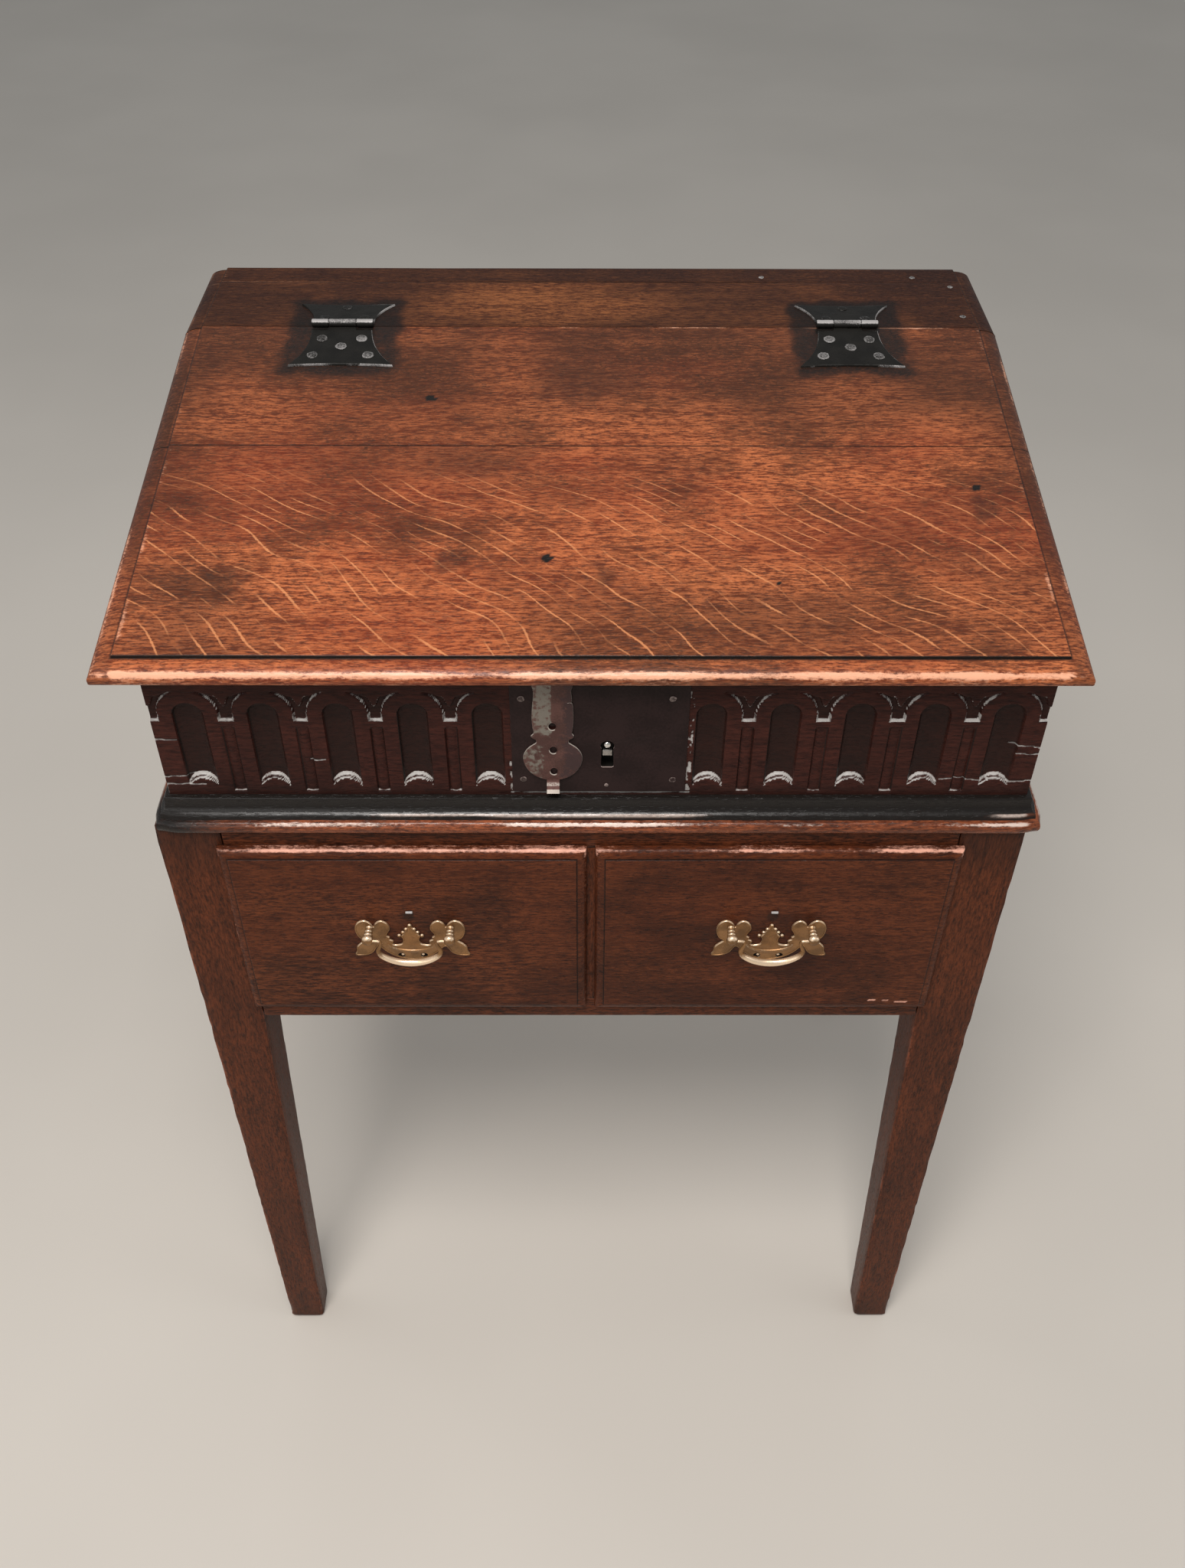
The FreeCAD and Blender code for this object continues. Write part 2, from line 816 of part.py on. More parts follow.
def ledge_board_nails():
    """Small nails that hold the ledge and the strip to the box, at the right end."""
    right_wall = box_right - box_side_thickness / 2
    back_wall = box_back_y - box_back_thickness / 2
    places = [
        (right_wall, hinge_y + board_nail_front), (right_wall, hinge_y + board_nail_back),
        (box_right - strip_nail_inset, back_wall),
        (box_shift + strip_nail_middle, back_wall),
    ]
    return nails_at(places, ledge_top, small_nail_head_radius, lid_thickness + nail_length)


def make_hinges():
    """Save both hinges and give back the nails in the lid and in the ledge."""
    lid_nails, ledge_nails, pins = [], ledge_board_nails(), []
    for name, x in (("left", hinge_left_x), ("right", hinge_right_x)):
        in_lid, in_ledge = lid_leaf_nails(x), ledge_leaf_nails(x)
        lid_leaf = leaf(x, lid_leaf_reach, lid_leaf_end, -1, (0, 2))
        ledge_leaf = leaf(x, ledge_leaf_reach, ledge_leaf_end, 1, (1,))
        save("hinge_" + name + "_lid_leaf", without(lid_leaf, in_lid))
        save("hinge_" + name + "_ledge_leaf", without(ledge_leaf, in_ledge))
        start = Vector(x - barrel_length / 2, hinge_y, ledge_top + barrel_radius)
        pins.append(cylinder(start, hinge_pin_radius, barrel_length, along_x))
        lid_nails += in_lid
        ledge_nails += in_ledge
    save("hinge_pins", Part.makeCompound(pins))
    return lid_nails, ledge_nails


# Lock

def keyhole():
    """Round hole with a slot hanging from it."""
    x, z = box_shift + keyhole_x, keyhole_z
    half = keyhole_slot_width / 2
    join = math.sqrt(keyhole_radius ** 2 - half ** 2)
    steps = [
        (x - half, z - keyhole_slot_depth), (x + half, z - keyhole_slot_depth),
        (x + half, z - join), ((x, z + keyhole_radius), (x - half, z - join)),
    ]
    return prism(on_xz(box_front_y - overrun), steps, Vector(0, 2 * overrun, 0))


def plate_nails():
    """A nail near each corner of the plate, driven from the front."""
    half = lock_plate_width / 2 - plate_nail_inset
    low = lock_plate_bottom + plate_nail_rise
    high = lock_plate_bottom + lock_plate_height - plate_nail_drop
    places = [(-half, low), (half, low), (-half, high), (half, high)]
    made = []
    for x, z in places:
        one = nail(small_nail_head_radius, nail_length)
        one.rotate(Vector(0, 0, 0), along_x, 90)
        one.translate(Vector(box_shift + x, box_front_y - lock_plate_thickness, z))
        made.append(one)
    return made


def staple_slot():
    """Way through the plate and into the case for the staple of a hasp."""
    x = box_shift + hasp_x - staple_slot_width / 2
    z = bolt_bottom + bolt_height / 2 - staple_slot_height / 2
    return block(
        x, x + staple_slot_width, box_front_y - overrun,
        box_front_y + lock_case_depth - lock_case_wall, z, z + staple_slot_height,
    )


def lock_works():
    """Case, bolt, drill pin and spring behind the plate."""
    left, right = box_shift - lock_case_left, box_shift + lock_case_right
    wall = lock_case_wall
    face = box_front_y
    back = face + lock_case_depth
    case = block(left, right, face, back, lock_case_bottom, lock_case_top).cut(block(
        left + wall, right - wall, face - overrun, back - wall,
        lock_case_bottom + wall, lock_case_top - wall,
    ))
    bolt_top = bolt_bottom + bolt_height
    under = bolt_bottom - bolt_slack
    over = bolt_top + bolt_slack
    key_edge = box_shift + keyhole_x - drill_pin_radius - lock_case_depth
    for low, high in ((under - bolt_rib, under), (over, over + bolt_rib)):
        case = case.fuse(block(left, key_edge, face, back - wall, low, high))
    behind = face + bolt_slack + bolt_thickness + bolt_slack
    case = case.fuse(block(left, key_edge, behind, back - wall, under, over)).cut(staple_slot())
    bolt_start = box_shift + hasp_x + staple_slot_width / 2 + bolt_slack
    bolt = block(
        bolt_start, bolt_start + bolt_length, face + bolt_slack,
        face + bolt_slack + bolt_thickness, bolt_bottom, bolt_top,
    )
    centre = Vector(box_shift + keyhole_x, back - wall, keyhole_z)
    length = lock_case_depth - wall + lock_plate_thickness - drill_pin_inset
    drill_pin = cylinder(centre, drill_pin_radius, length, -along_y)
    spring_end = bolt_start + bolt_length - wall
    spring_y = face + bolt_slack
    roof = lock_case_top - wall
    spring = prism(on_xz(spring_y), [
        (spring_end, bolt_top + bolt_slack),
        (spring_end - spring_length, roof), (spring_end - spring_length - bolt_rib, roof),
        (spring_end - spring_length - bolt_rib, roof - spring_thickness),
        (spring_end - spring_length, roof - spring_thickness),
        (spring_end - bolt_rib, bolt_top + bolt_slack),
    ], Vector(0, bolt_thickness, 0))
    return case.removeSplitter(), bolt, drill_pin, spring


def make_lock():
    """Save the lock and give back what the front board is cut for."""
    case, bolt, drill_pin, spring = lock_works()
    nails = plate_nails()
    left = box_shift - lock_plate_width / 2
    plate = block(
        left, left + lock_plate_width, box_front_y - lock_plate_thickness, box_front_y,
        lock_plate_bottom, lock_plate_bottom + lock_plate_height,
    )
    save("lock_plate", without(plate, [keyhole(), staple_slot()] + nails))
    save("lock_case", case)
    save("lock_bolt", bolt)
    save("lock_drill_pin", drill_pin)
    save("lock_spring", spring)
    save("lock_plate_nails", Part.makeCompound(nails))
    mortise = block(
        box_shift - lock_case_left, box_shift + lock_case_right, box_front_y - overrun,
        box_front_y + lock_case_depth, lock_case_bottom, lock_case_top,
    )
    return [mortise] + nails


# Hasp

def hasp_axis():
    """Depth and height of the pin that the hasp hangs on."""
    back = box_front_y - lock_plate_thickness - hasp_gap
    y = back - hasp_barrel_radius
    return y, lid_underside(y) - hasp_barrel_drop


def hasp_plate():
    """Strap, neck, round bulb with three holes, and a lip turned out to lift it by."""
    x = box_shift + hasp_x
    axis_y, axis_z = hasp_axis()
    back = axis_y + hasp_barrel_radius
    wide, neck, bulb, lip = (
        hasp_half_width, hasp_neck_half_width, hasp_bulb_half_width, hasp_lip_half_width,
    )
    low_share, side_share = 0.35, 0.78
    high_share, shoulder_share = 0.58, 0.91
    low = hasp_bulb_foot + (hasp_bulb_middle - hasp_bulb_foot) * low_share
    high = hasp_bulb_middle + (hasp_neck_foot - hasp_bulb_middle) * high_share
    strap = prism(on_xz(back - hasp_thickness), [
        (x - wide, axis_z), (x - wide, hasp_neck_top),
        (x - neck, (hasp_neck_top + hasp_neck_foot) / 2), (x - neck, hasp_neck_foot),
        ((x - bulb * shoulder_share, high), (x - bulb, hasp_bulb_middle)),
        ((x - bulb * side_share, low), (x - lip, hasp_bulb_foot)),
        (x + lip, hasp_bulb_foot),
        ((x + bulb * side_share, low), (x + bulb, hasp_bulb_middle)),
        ((x + bulb * shoulder_share, high), (x + neck, hasp_neck_foot)),
        (x + neck, (hasp_neck_top + hasp_neck_foot) / 2), (x + wide, hasp_neck_top),
        (x + wide, axis_z),
    ], Vector(0, hasp_thickness, 0))
    lip_reach = hasp_lip_length * math.sin(math.radians(hasp_lip_angle))
    fall = hasp_lip_length * math.cos(math.radians(hasp_lip_angle))
    front = back - hasp_thickness
    lip_plate = prism(on_yz(x - lip), [
        (back, hasp_bulb_foot + hasp_thickness), (back, hasp_bulb_foot),
        (back - lip_reach, hasp_bulb_foot - fall), (front - lip_reach, hasp_bulb_foot - fall),
        (front, hasp_bulb_foot), (front, hasp_bulb_foot + hasp_thickness),
    ], Vector(2 * lip, 0, 0))
    strap = strap.fuse(lip_plate)
    for rise in hasp_hole_rises:
        start = Vector(x, back + overrun, stand_height + rise)
        through = Vector(0, -2 * overrun - lip_reach, 0)
        strap = strap.cut(rod(start, hasp_hole_radius, hasp_hole_sides, along_x, along_z, through))
    return strap


def make_hasp():
    """Save the hasp, its butt and its pin, and give back the nails in the lid."""
    x = box_shift + hasp_x
    axis_y, axis_z = hasp_axis()
    radius = hasp_barrel_radius
    segment = 2 * hasp_half_width / 3
    left = x - hasp_half_width
    strap = hasp_plate()
    butt_back = axis_y + radius
    butt_front = axis_y - hasp_butt_reach
    top_front, top_back = lid_underside(butt_front), lid_underside(butt_back)
    butt = prism(on_yz(left), [
        (butt_front, top_front), (butt_front, top_front - hasp_butt_thickness),
        (butt_back, top_back - hasp_butt_thickness), (butt_back, top_back),
    ], Vector(2 * hasp_half_width, 0, 0))
    clear = radius + barrel_slack
    for place in range(3):
        start = Vector(left + place * segment + barrel_slack / 2, axis_y, axis_z)
        knuckle = cylinder(start, radius, segment - barrel_slack, along_x)
        notch = block(
            start.x - barrel_slack, start.x + segment, axis_y - clear, axis_y + clear,
            axis_z - clear, axis_z + clear,
        )
        if place == 1:
            butt = butt.fuse(knuckle)
            strap = strap.cut(notch)
        else:
            butt = butt.cut(notch)
            strap = strap.fuse(knuckle)
    bore = cylinder(
        Vector(left - overrun, axis_y, axis_z), hasp_pin_radius + pin_clearance,
        2 * (hasp_half_width + overrun), along_x,
    )
    nails = []
    for side in (-1, 1):
        one = nail(small_nail_head_radius, nail_length)
        one.rotate(Vector(0, 0, 0), along_x, 180 + lid_slope)
        place_y = axis_y - hasp_butt_reach * hasp_nail_share
        place_z = lid_underside(place_y) - hasp_butt_thickness / slope_cos
        one.translate(Vector(x + side * hasp_half_width * hasp_nail_share, place_y, place_z))
        nails.append(one)
    save("hasp", strap.cut(bore).removeSplitter())
    save("hasp_butt", without(butt.cut(bore).removeSplitter(), nails))
    save("hasp_pin", cylinder(
        Vector(left, axis_y, axis_z), hasp_pin_radius, 2 * hasp_half_width, along_x,
    ))
    return nails


# Drawers

def drawer_opening(side):
    """Left and right edge of a drawer's opening."""
    inner = side * muntin_width / 2
    outer = side * opening_x
    return min(inner, outer), max(inner, outer)


def drawer_side_board(x, low, high, edge_y):
    """A side with tails at its front end that fit the drawer front."""
    back = front_y + drawer_depth
    board = block(x, x + drawer_side_thickness, edge_y, back, low, high)
    pitch = (high - low) / tail_count
    for place in range(tail_count):
        middle = low + (place + 1 / 2) * pitch
        half = tail_height / 2
        tail = prism(on_yz(x), [
            (edge_y, middle - half), (edge_y - tail_length, middle - half - tail_flare),
            (edge_y - tail_length, middle + half + tail_flare), (edge_y, middle + half),
        ], Vector(drawer_side_thickness, 0, 0))
        board = board.fuse(tail)
    return board.removeSplitter()


def moulded_front(lip_left, lip_right, lip_low, lip_high):
    """Lipped panel with a thumb moulding on all four edges, its field facing forward."""
    mould = (lip_mould_width, lip_mould_edge, lip_mould_crest, lip_mould_arris)
    back = front_y - seat_gap
    wide = lip_right - lip_left + overrun
    tall = lip_high - lip_low + overrun

    def upright(a, b):
        return Vector(a, back - b, lip_low - overrun)

    def level(a, b):
        return Vector(lip_left - overrun, back - b, a)

    up = Vector(0, 0, tall + overrun)
    over = Vector(wide + overrun, 0, 0)
    shape = prism(upright, thumb_steps(lip_left, 1, wide, lip_thickness, mould), up)
    shape = shape.common(prism(upright, thumb_steps(lip_right, -1, wide, lip_thickness, mould), up))
    shape = shape.common(prism(level, thumb_steps(lip_low, 1, tall, lip_thickness, mould), over))
    return shape.common(prism(level, thumb_steps(lip_high, -1, tall, lip_thickness, mould), over))


def make_drawer(name, side):
    left, right = drawer_opening(side)
    muntin_cover = (muntin_width - lip_gap) / 2
    lip_left = left - (lip_overlap if side < 0 else muntin_cover)
    lip_right = right + (lip_overlap if side > 0 else muntin_cover)
    low = opening_bottom + seat_gap
    high = opening_top - drawer_top_gap
    inner_left, inner_right = left + drawer_side_gap, right - drawer_side_gap
    panel_back = front_y + front_rebate
    panel = moulded_front(
        lip_left, lip_right, opening_bottom - lip_overlap_height, opening_top + lip_overlap_height,
    ).fuse(block(inner_left, inner_right, front_y - seat_gap, panel_back, low, high))
    back = front_y + drawer_depth
    left_side = drawer_side_board(inner_left, low, high, panel_back)
    right_side = drawer_side_board(inner_right - drawer_side_thickness, low, high, panel_back)
    floor_low = low + groove_height
    floor = block(
        inner_left + drawer_side_thickness - groove_depth,
        inner_right - drawer_side_thickness + groove_depth,
        panel_back - groove_depth, back, floor_low, floor_low + drawer_bottom_thickness,
    )
    back_board = block(
        inner_left + drawer_side_thickness, inner_right - drawer_side_thickness,
        back - drawer_back_thickness, back, floor_low + drawer_bottom_thickness, high,
    )
    centre = (lip_left + lip_right) / 2
    posts = make_handle(name, centre)
    panel = without(panel, [left_side, right_side, floor] + posts).removeSplitter()
    save("drawer_" + name + "_front", panel)
    outer, inner = (left_side, right_side) if side < 0 else (right_side, left_side)
    save("drawer_" + name + "_outer_side", outer.cut(floor))
    save("drawer_" + name + "_inner_side", inner.cut(floor))
    save("drawer_" + name + "_back", back_board)
    save("drawer_" + name + "_bottom", floor)


# Handles

def post(x, axis_y, side):
    """Knob-headed post with its shank through the drawer front, bored for the bail."""
    plate_y = front_y - field_reach - handle_plate_thickness
    inside_y = front_y + front_rebate
    knob, sides = post_knob_radius, post_sides
    slices = []
    for step in range(1, knob_slices):
        turn = math.pi * step / knob_slices
        centre = Vector(x, axis_y - post_knob_length / 2 * math.cos(turn), post_height)
        slices.append(ring(centre, knob * math.sin(turn), sides, along_x, along_z))
    body = Part.makeLoft(slices, True, True)
    ring_y = plate_y - post_ring_thickness
    for radius, start, end in (
        (post_neck_radius, axis_y, ring_y), (post_ring_radius, ring_y, plate_y),
        (post_shank_radius, plate_y, inside_y + post_nut_thickness),
    ):
        length = Vector(0, end - start, 0)
        body = body.fuse(rod(Vector(x, start, post_height), radius, sides, along_x, along_z, length))
    bore_start = Vector(x - side * (knob - bail_pin_depth), axis_y, post_height)
    bore_radius = (bail_pin_radius + pin_clearance) / math.cos(math.pi / bail_sides)
    bore = rod(bore_start, bore_radius, bail_sides, along_y, along_z, Vector(-side * knob, 0, 0))
    return body.cut(bore).removeSplitter()


def post_nut(x, threaded):
    inside_y = front_y + front_rebate
    thickness = Vector(0, post_nut_thickness, 0)
    return rod(Vector(x, inside_y, post_height), post_nut_radius, 6, along_x, along_z, thickness).cut(threaded)


def bail(x, axis_y):
    """Drop handle: a pin into each post, then a bow that thickens to its grip."""
    pin_end = post_spacing / 2 - post_knob_radius + bail_pin_depth - bail_end_gap
    corner_x = bail_half_width + bail_corner
    stations = [(pin_end, 0.0, 0.0, bail_pin_radius), (corner_x, 0.0, 0.0, bail_pin_radius)]
    for step in range(1, corner_sections + 1):
        turn = math.pi / 2 * step / corner_sections
        stations.append((
            corner_x - bail_corner * math.sin(turn), bail_corner * (1 - math.cos(turn)),
            turn, bail_pin_radius,
        ))
    fall = bail_drop - bail_corner
    half_count = bail_sections // 2
    for step in range(1, bail_sections):
        turn = math.pi / 2 * step / half_count
        run = bail_half_width * math.cos(turn)
        drop = bail_corner + fall * math.sin(turn)
        heading = math.atan2(fall * math.cos(turn), bail_half_width * math.sin(turn))
        swell = math.sin(turn) ** 2
        if step <= half_count:
            radius = bail_pin_radius + (bail_grip_radius - bail_pin_radius) * swell
            stations.append((run, drop, heading, radius))
    mirrored = [(-run, drop, -heading, radius) for run, drop, heading, radius in reversed(stations[:-1])]
    rings = []
    for run, drop, heading, radius in stations + mirrored:
        centre = Vector(x + run, axis_y, post_height - drop)
        across = Vector(-math.sin(heading), 0, math.cos(heading))
        rings.append(ring(centre, radius, bail_sides, along_y, across))
    return Part.makeLoft(rings, True, True)


def handle_plate(x, plate_back):
    """Bat-wing plate with a stepped crest and two scrolled wings, the right half mirrored."""
    half_shares = [
        (0.0, 0.16), (0.07, 0.03), (0.12, -0.06), (0.19, -0.13), (0.15, -0.29),
        ((0.22, -0.43), (0.32, -0.40)), (0.33, -0.25), (0.40, -0.11), (0.38, 0.03),
        ((0.46, 0.23), (0.65, 0.10)), ((0.83, 0.22), (0.97, 0.0)), (0.93, -0.23),
        (0.83, -0.27), (0.92, -0.37), (1.0, -0.70), (0.71, -0.65), (0.59, -0.44),
        (0.42, -0.63), (0.22, -0.77), (0.0, -0.82),
    ]

    def place(across, up):
        w = handle_plate_half_width
        return Vector(x + across * w, plate_back, post_height + up * w)

    half = prism(place, half_shares, Vector(0, -handle_plate_thickness, 0))
    return half.fuse(half.mirror(Vector(x, 0, 0), along_x))


def make_handle(name, x):
    """Save plate, posts and bail of one handle and give back the posts."""
    axis_y = front_y - post_axis_reach
    plate_back = front_y - field_reach
    posts = [
        post(x - post_spacing / 2, axis_y, -1), post(x + post_spacing / 2, axis_y, 1),
    ]
    plate = handle_plate(x, plate_back)
    nuts = [post_nut(x - post_spacing / 2, posts[0]), post_nut(x + post_spacing / 2, posts[1])]
    save("handle_" + name + "_plate", without(plate, posts).removeSplitter())
    save("handle_" + name + "_posts", Part.makeCompound(posts + nuts))
    save("handle_" + name + "_bail", bail(x, axis_y))
    return posts


def main():
    os.makedirs("parts", exist_ok=True)
    make_stand()
    make_moulding()
    lid_nails, ledge_nails = make_hinges()
    lid_nails += make_hasp()
    make_box(make_lock(), ledge_nails)
    make_lid(lid_nails, ledge_nails)
    save("lid_nails", Part.makeCompound(lid_nails))
    save("ledge_nails", Part.makeCompound(ledge_nails))
    make_drawer("left", -1)
    make_drawer("right", 1)


main()
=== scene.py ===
import math

import bmesh
import bpy
import numpy as np
from mathutils import Euler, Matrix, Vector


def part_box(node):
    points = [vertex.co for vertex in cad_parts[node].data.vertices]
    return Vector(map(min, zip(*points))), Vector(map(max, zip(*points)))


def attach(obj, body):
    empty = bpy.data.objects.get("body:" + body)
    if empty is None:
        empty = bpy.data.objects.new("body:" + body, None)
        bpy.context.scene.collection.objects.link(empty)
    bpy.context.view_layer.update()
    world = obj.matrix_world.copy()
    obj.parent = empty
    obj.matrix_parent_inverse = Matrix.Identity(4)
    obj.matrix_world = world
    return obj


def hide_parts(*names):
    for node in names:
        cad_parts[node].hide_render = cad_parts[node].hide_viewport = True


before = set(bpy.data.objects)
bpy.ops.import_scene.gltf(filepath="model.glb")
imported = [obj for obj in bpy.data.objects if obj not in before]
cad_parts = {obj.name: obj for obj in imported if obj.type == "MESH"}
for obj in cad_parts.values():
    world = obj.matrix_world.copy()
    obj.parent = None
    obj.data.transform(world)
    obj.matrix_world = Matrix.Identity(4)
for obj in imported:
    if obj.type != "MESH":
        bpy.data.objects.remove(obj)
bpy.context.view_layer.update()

# The looks of a carved oak bible box on its stand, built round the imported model.
# Metres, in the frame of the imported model: X to the right, Y to the back, Z up from the floor.

bl_info = {
    "name": "Bible Box on Stand",
    "version": (1, 0, 0),
    "blender": (4, 5, 0),
    "location": "3D View > Sidebar > Bible Box",
    "description": "Models and finishes a carved oak bible box on a two-drawer stand",
    "category": "Object",
}

MM = 0.001


def low(node):
    """The low corner of a node's box; high and middle are its high corner and its centre."""
    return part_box(node)[0]


def high(node):
    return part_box(node)[1]


def middle(node):
    return (low(node) + high(node)) / 2


def tone(red, green, blue):
    """A screen colour of 0 to 255 as the linear colour that Blender wants."""
    screen = [red / 255, green / 255, blue / 255]
    return tuple(s / 12.92 if s < 0.04045 else ((s + 0.055) / 1.055) ** 2.4 for s in screen)


# Planes, sizes and the body that the pieces share

LEDGE_TOP = high("ledge_board").z
HINGE_Y = low("ledge_board").y - 0.5 * MM
BOX_FRONT = low("carved_front_board").y
BOX_LEFT = low("carved_front_board").x
BOX_RIGHT = high("carved_front_board").x
BOX_MIDDLE = (BOX_LEFT + BOX_RIGHT) / 2
STAND_TOP = high("leg_front_left").z
BOARD = LEDGE_TOP - low("ledge_board").z
BODY = "box_on_stand"
PLATE_THICKNESS = 1.2 * MM
HOLE_OUT, HOLE_DOWN = 9.6 * MM, 34.6 * MM


# Sizes and colours that a user would change

def length(name, description, default):
    """A setting in metres; colour is a setting with red, green and blue."""
    return bpy.props.FloatProperty(
        name=name, description=description, default=default, min=0.0, unit="LENGTH",
        precision=4,
    )


def colour(name, description, default):
    return bpy.props.FloatVectorProperty(
        name=name, description=description, default=default, size=3, min=0.0, max=1.0,
        subtype="COLOR",
    )


class OakColours(bpy.types.PropertyGroup):
    lid_pale: colour("Lid, pale", "Pale grain of the sloping lid", tone(192, 110, 66))
    lid_deep: colour("Lid, deep", "Deep grain of the sloping lid", tone(98, 46, 26))
    lid_dark: colour("Lid, dark", "Old handling marks on the lid", tone(58, 33, 21))
    front_pale: colour("Front, pale", "Pale grain of the carved front", tone(70, 36, 29))
    front_deep: colour("Front, deep", "Deep grain of the carved front", tone(34, 19, 17))
    stand_pale: colour("Stand, pale", "Pale grain of the stand", tone(104, 53, 30))
    stand_deep: colour("Stand, deep", "Deep grain of the stand", tone(44, 22, 13))
    inside_pale: colour("Inside, pale", "Pale grain of the dry oak inside", tone(168, 126, 84))
    inside_deep: colour("Inside, deep", "Deep grain of the dry oak inside", tone(116, 80, 52))
    # Rubbed is both rubbed wood and the colour of painted highlights along noses and lips.
    rubbed_and_highlight: colour("Rubbed", "Edges that hands have rubbed", tone(226, 166, 134))
    ray: colour("Ray flecks", "The pale flecks across quartered oak", tone(212, 140, 92))


class MetalColours(bpy.types.PropertyGroup):
    iron: colour("Iron", "Blackened iron of the hinges", tone(27, 25, 22))
    # Worn iron also colours the painted highlights on knuckles, nails and leaf rims.
    iron_worn_and_highlight: colour("Iron, worn", "Iron that hands have polished", tone(158, 154, 152))
    hasp: colour("Hasp", "The coppery brown of the hasp", tone(94, 64, 58))
    hasp_worn: colour("Hasp, bare", "The grey where its skin is gone", tone(126, 121, 111))
    brass: colour("Brass", "Aged brass of the handles", tone(148, 108, 68))
    # Worn brass also colours the painted highlights on knobs, beads and plate rims.
    brass_worn_and_highlight: colour("Brass, worn", "Brass that fingers keep bright", tone(240, 212, 180))
    steel: colour("Steel", "Bare steel of pins and springs", tone(170, 166, 162))


class LidSizes(bpy.types.PropertyGroup):
    slope: bpy.props.FloatProperty(
        name="Slope", description="How far the lid leans from level",
        default=math.radians(9), subtype="ANGLE",
    )
    mould_width: length("Moulding width", "Width of the thumb moulding", 16.0 * MM)
    mould_edge: length("Moulding edge", "Height of its upright edge", 5.5 * MM)
    mould_crest: length("Moulding crest", "Height of its crest", 12.6 * MM)
    rear_board: length("Rear board", "Depth of the board at the hinges", 163.0 * MM)


class CarvingSizes(bpy.types.PropertyGroup):
    pitch: length("Pitch", "From one flute to the next", 55.9 * MM)
    first: length("First flute", "From the box's middle to the first flute", 84.0 * MM)
    half_width: length("Flute half width", "Half the width of a flute", 11.5 * MM)
    depth: length("Flute depth", "Depth of a flute at its middle", 5.0 * MM)
    arch: length("Arch radius", "Radius of the arch round a flute", 23.0 * MM)
    spring: length("Spring", "Height of the arches' centres above the floor", 912.5 * MM)
    foot: length("Foot", "Height of the flutes' feet above the floor", 840.8 * MM)
    dart: length("Dart half width", "Half the width of the darts", 4.95 * MM)
    step: length("Grid step", "Distance between points on the carving", 0.95 * MM)


class HandleSizes(bpy.types.PropertyGroup):
    half_width: length("Plate half width", "Half the width of a handle's plate", 49.0 * MM)
    bow: length("Bail half width", "Half the width of the bail", 26.0 * MM)
    drop: length("Bail drop", "How far the bail hangs below its pins", 27.8 * MM)
    pin: length("Pin radius", "Radius of the bail's pins", 1.2 * MM)
    grip: length("Grip radius", "Radius of the bail's bow", 3.0 * MM)


class StudioSettings(bpy.types.PropertyGroup):
    floor: colour("Floor", "The pale floor", tone(212, 204, 194))
    sky: bpy.props.FloatProperty(
        name="Sky", description="Strength of the even light from all sides", default=0.34, min=0.0)
    lens: bpy.props.FloatProperty(
        name="Lens", description="Focal length, on a sensor 36 mm high", default=33.133,
        subtype="DISTANCE_CAMERA",
    )


# Shapes from arrays

def ease(start, end, x):
    """Nought below start, one above end, and a smooth S between them."""
    t = np.clip((x - start) / (end - start), 0.0, 1.0)
    return t * t * (3 - 2 * t)


def bell(distance, width):
    """One at no distance, fading by Gauss's curve."""
    return np.exp(-(distance / width) ** 2)


def ripple(x, y, seed, octaves=3):
    """Smooth noise about nought: random heights on a unit lattice, blended by the S curve
    between neighbours, with each octave half as high and twice as fine."""
    x, y = np.broadcast_arrays(np.asarray(x, float), np.asarray(y, float))
    total = np.zeros(x.shape)
    for octave in range(octaves):
        table = np.random.default_rng(seed + octave).random((64, 64))
        fx, fy = x * 2 ** octave, y * 2 ** octave
        ix, iy = np.floor(fx).astype(int), np.floor(fy).astype(int)
        u, v = ease(0, 1, fx - ix), ease(0, 1, fy - iy)
        a, b = table[ix % 64, iy % 64], table[(ix + 1) % 64, iy % 64]
        c, d = table[ix % 64, (iy + 1) % 64], table[(ix + 1) % 64, (iy + 1) % 64]
        total += ((a * (1 - u) + b * u) * (1 - v) + (c * (1 - u) + d * u) * v - 0.5) / 2 ** octave
    return total


def net(rows, columns, round_rows=False, round_columns=False):
    """The quads between neighbouring points of a grid, with its ends joined where it is round."""
    r = np.arange(rows if round_rows else rows - 1)[:, None]
    c = np.arange(columns if round_columns else columns - 1)[None, :]
    r, c = np.broadcast_arrays(r, c)
    next_r, next_c = (r + 1) % rows, (c + 1) % columns
    here, there = r * columns, next_r * columns
    return np.stack([here + c, here + next_c, there + next_c, there + c], -1).reshape(-1, 4)


def border(rows, columns):
    """The points round the edge of a grid, in order."""
    index = np.arange(rows * columns).reshape(rows, columns)
    return np.concatenate([index[0, :-1], index[:-1, -1], index[-1, :0:-1], index[:0:-1, 0]])


def skirt(rim, start):
    """The quads from a border to the loop of points that starts at a number."""
    ring = start + np.arange(len(rim))
    return np.stack([rim, np.roll(rim, -1), np.roll(ring, -1), ring], -1)


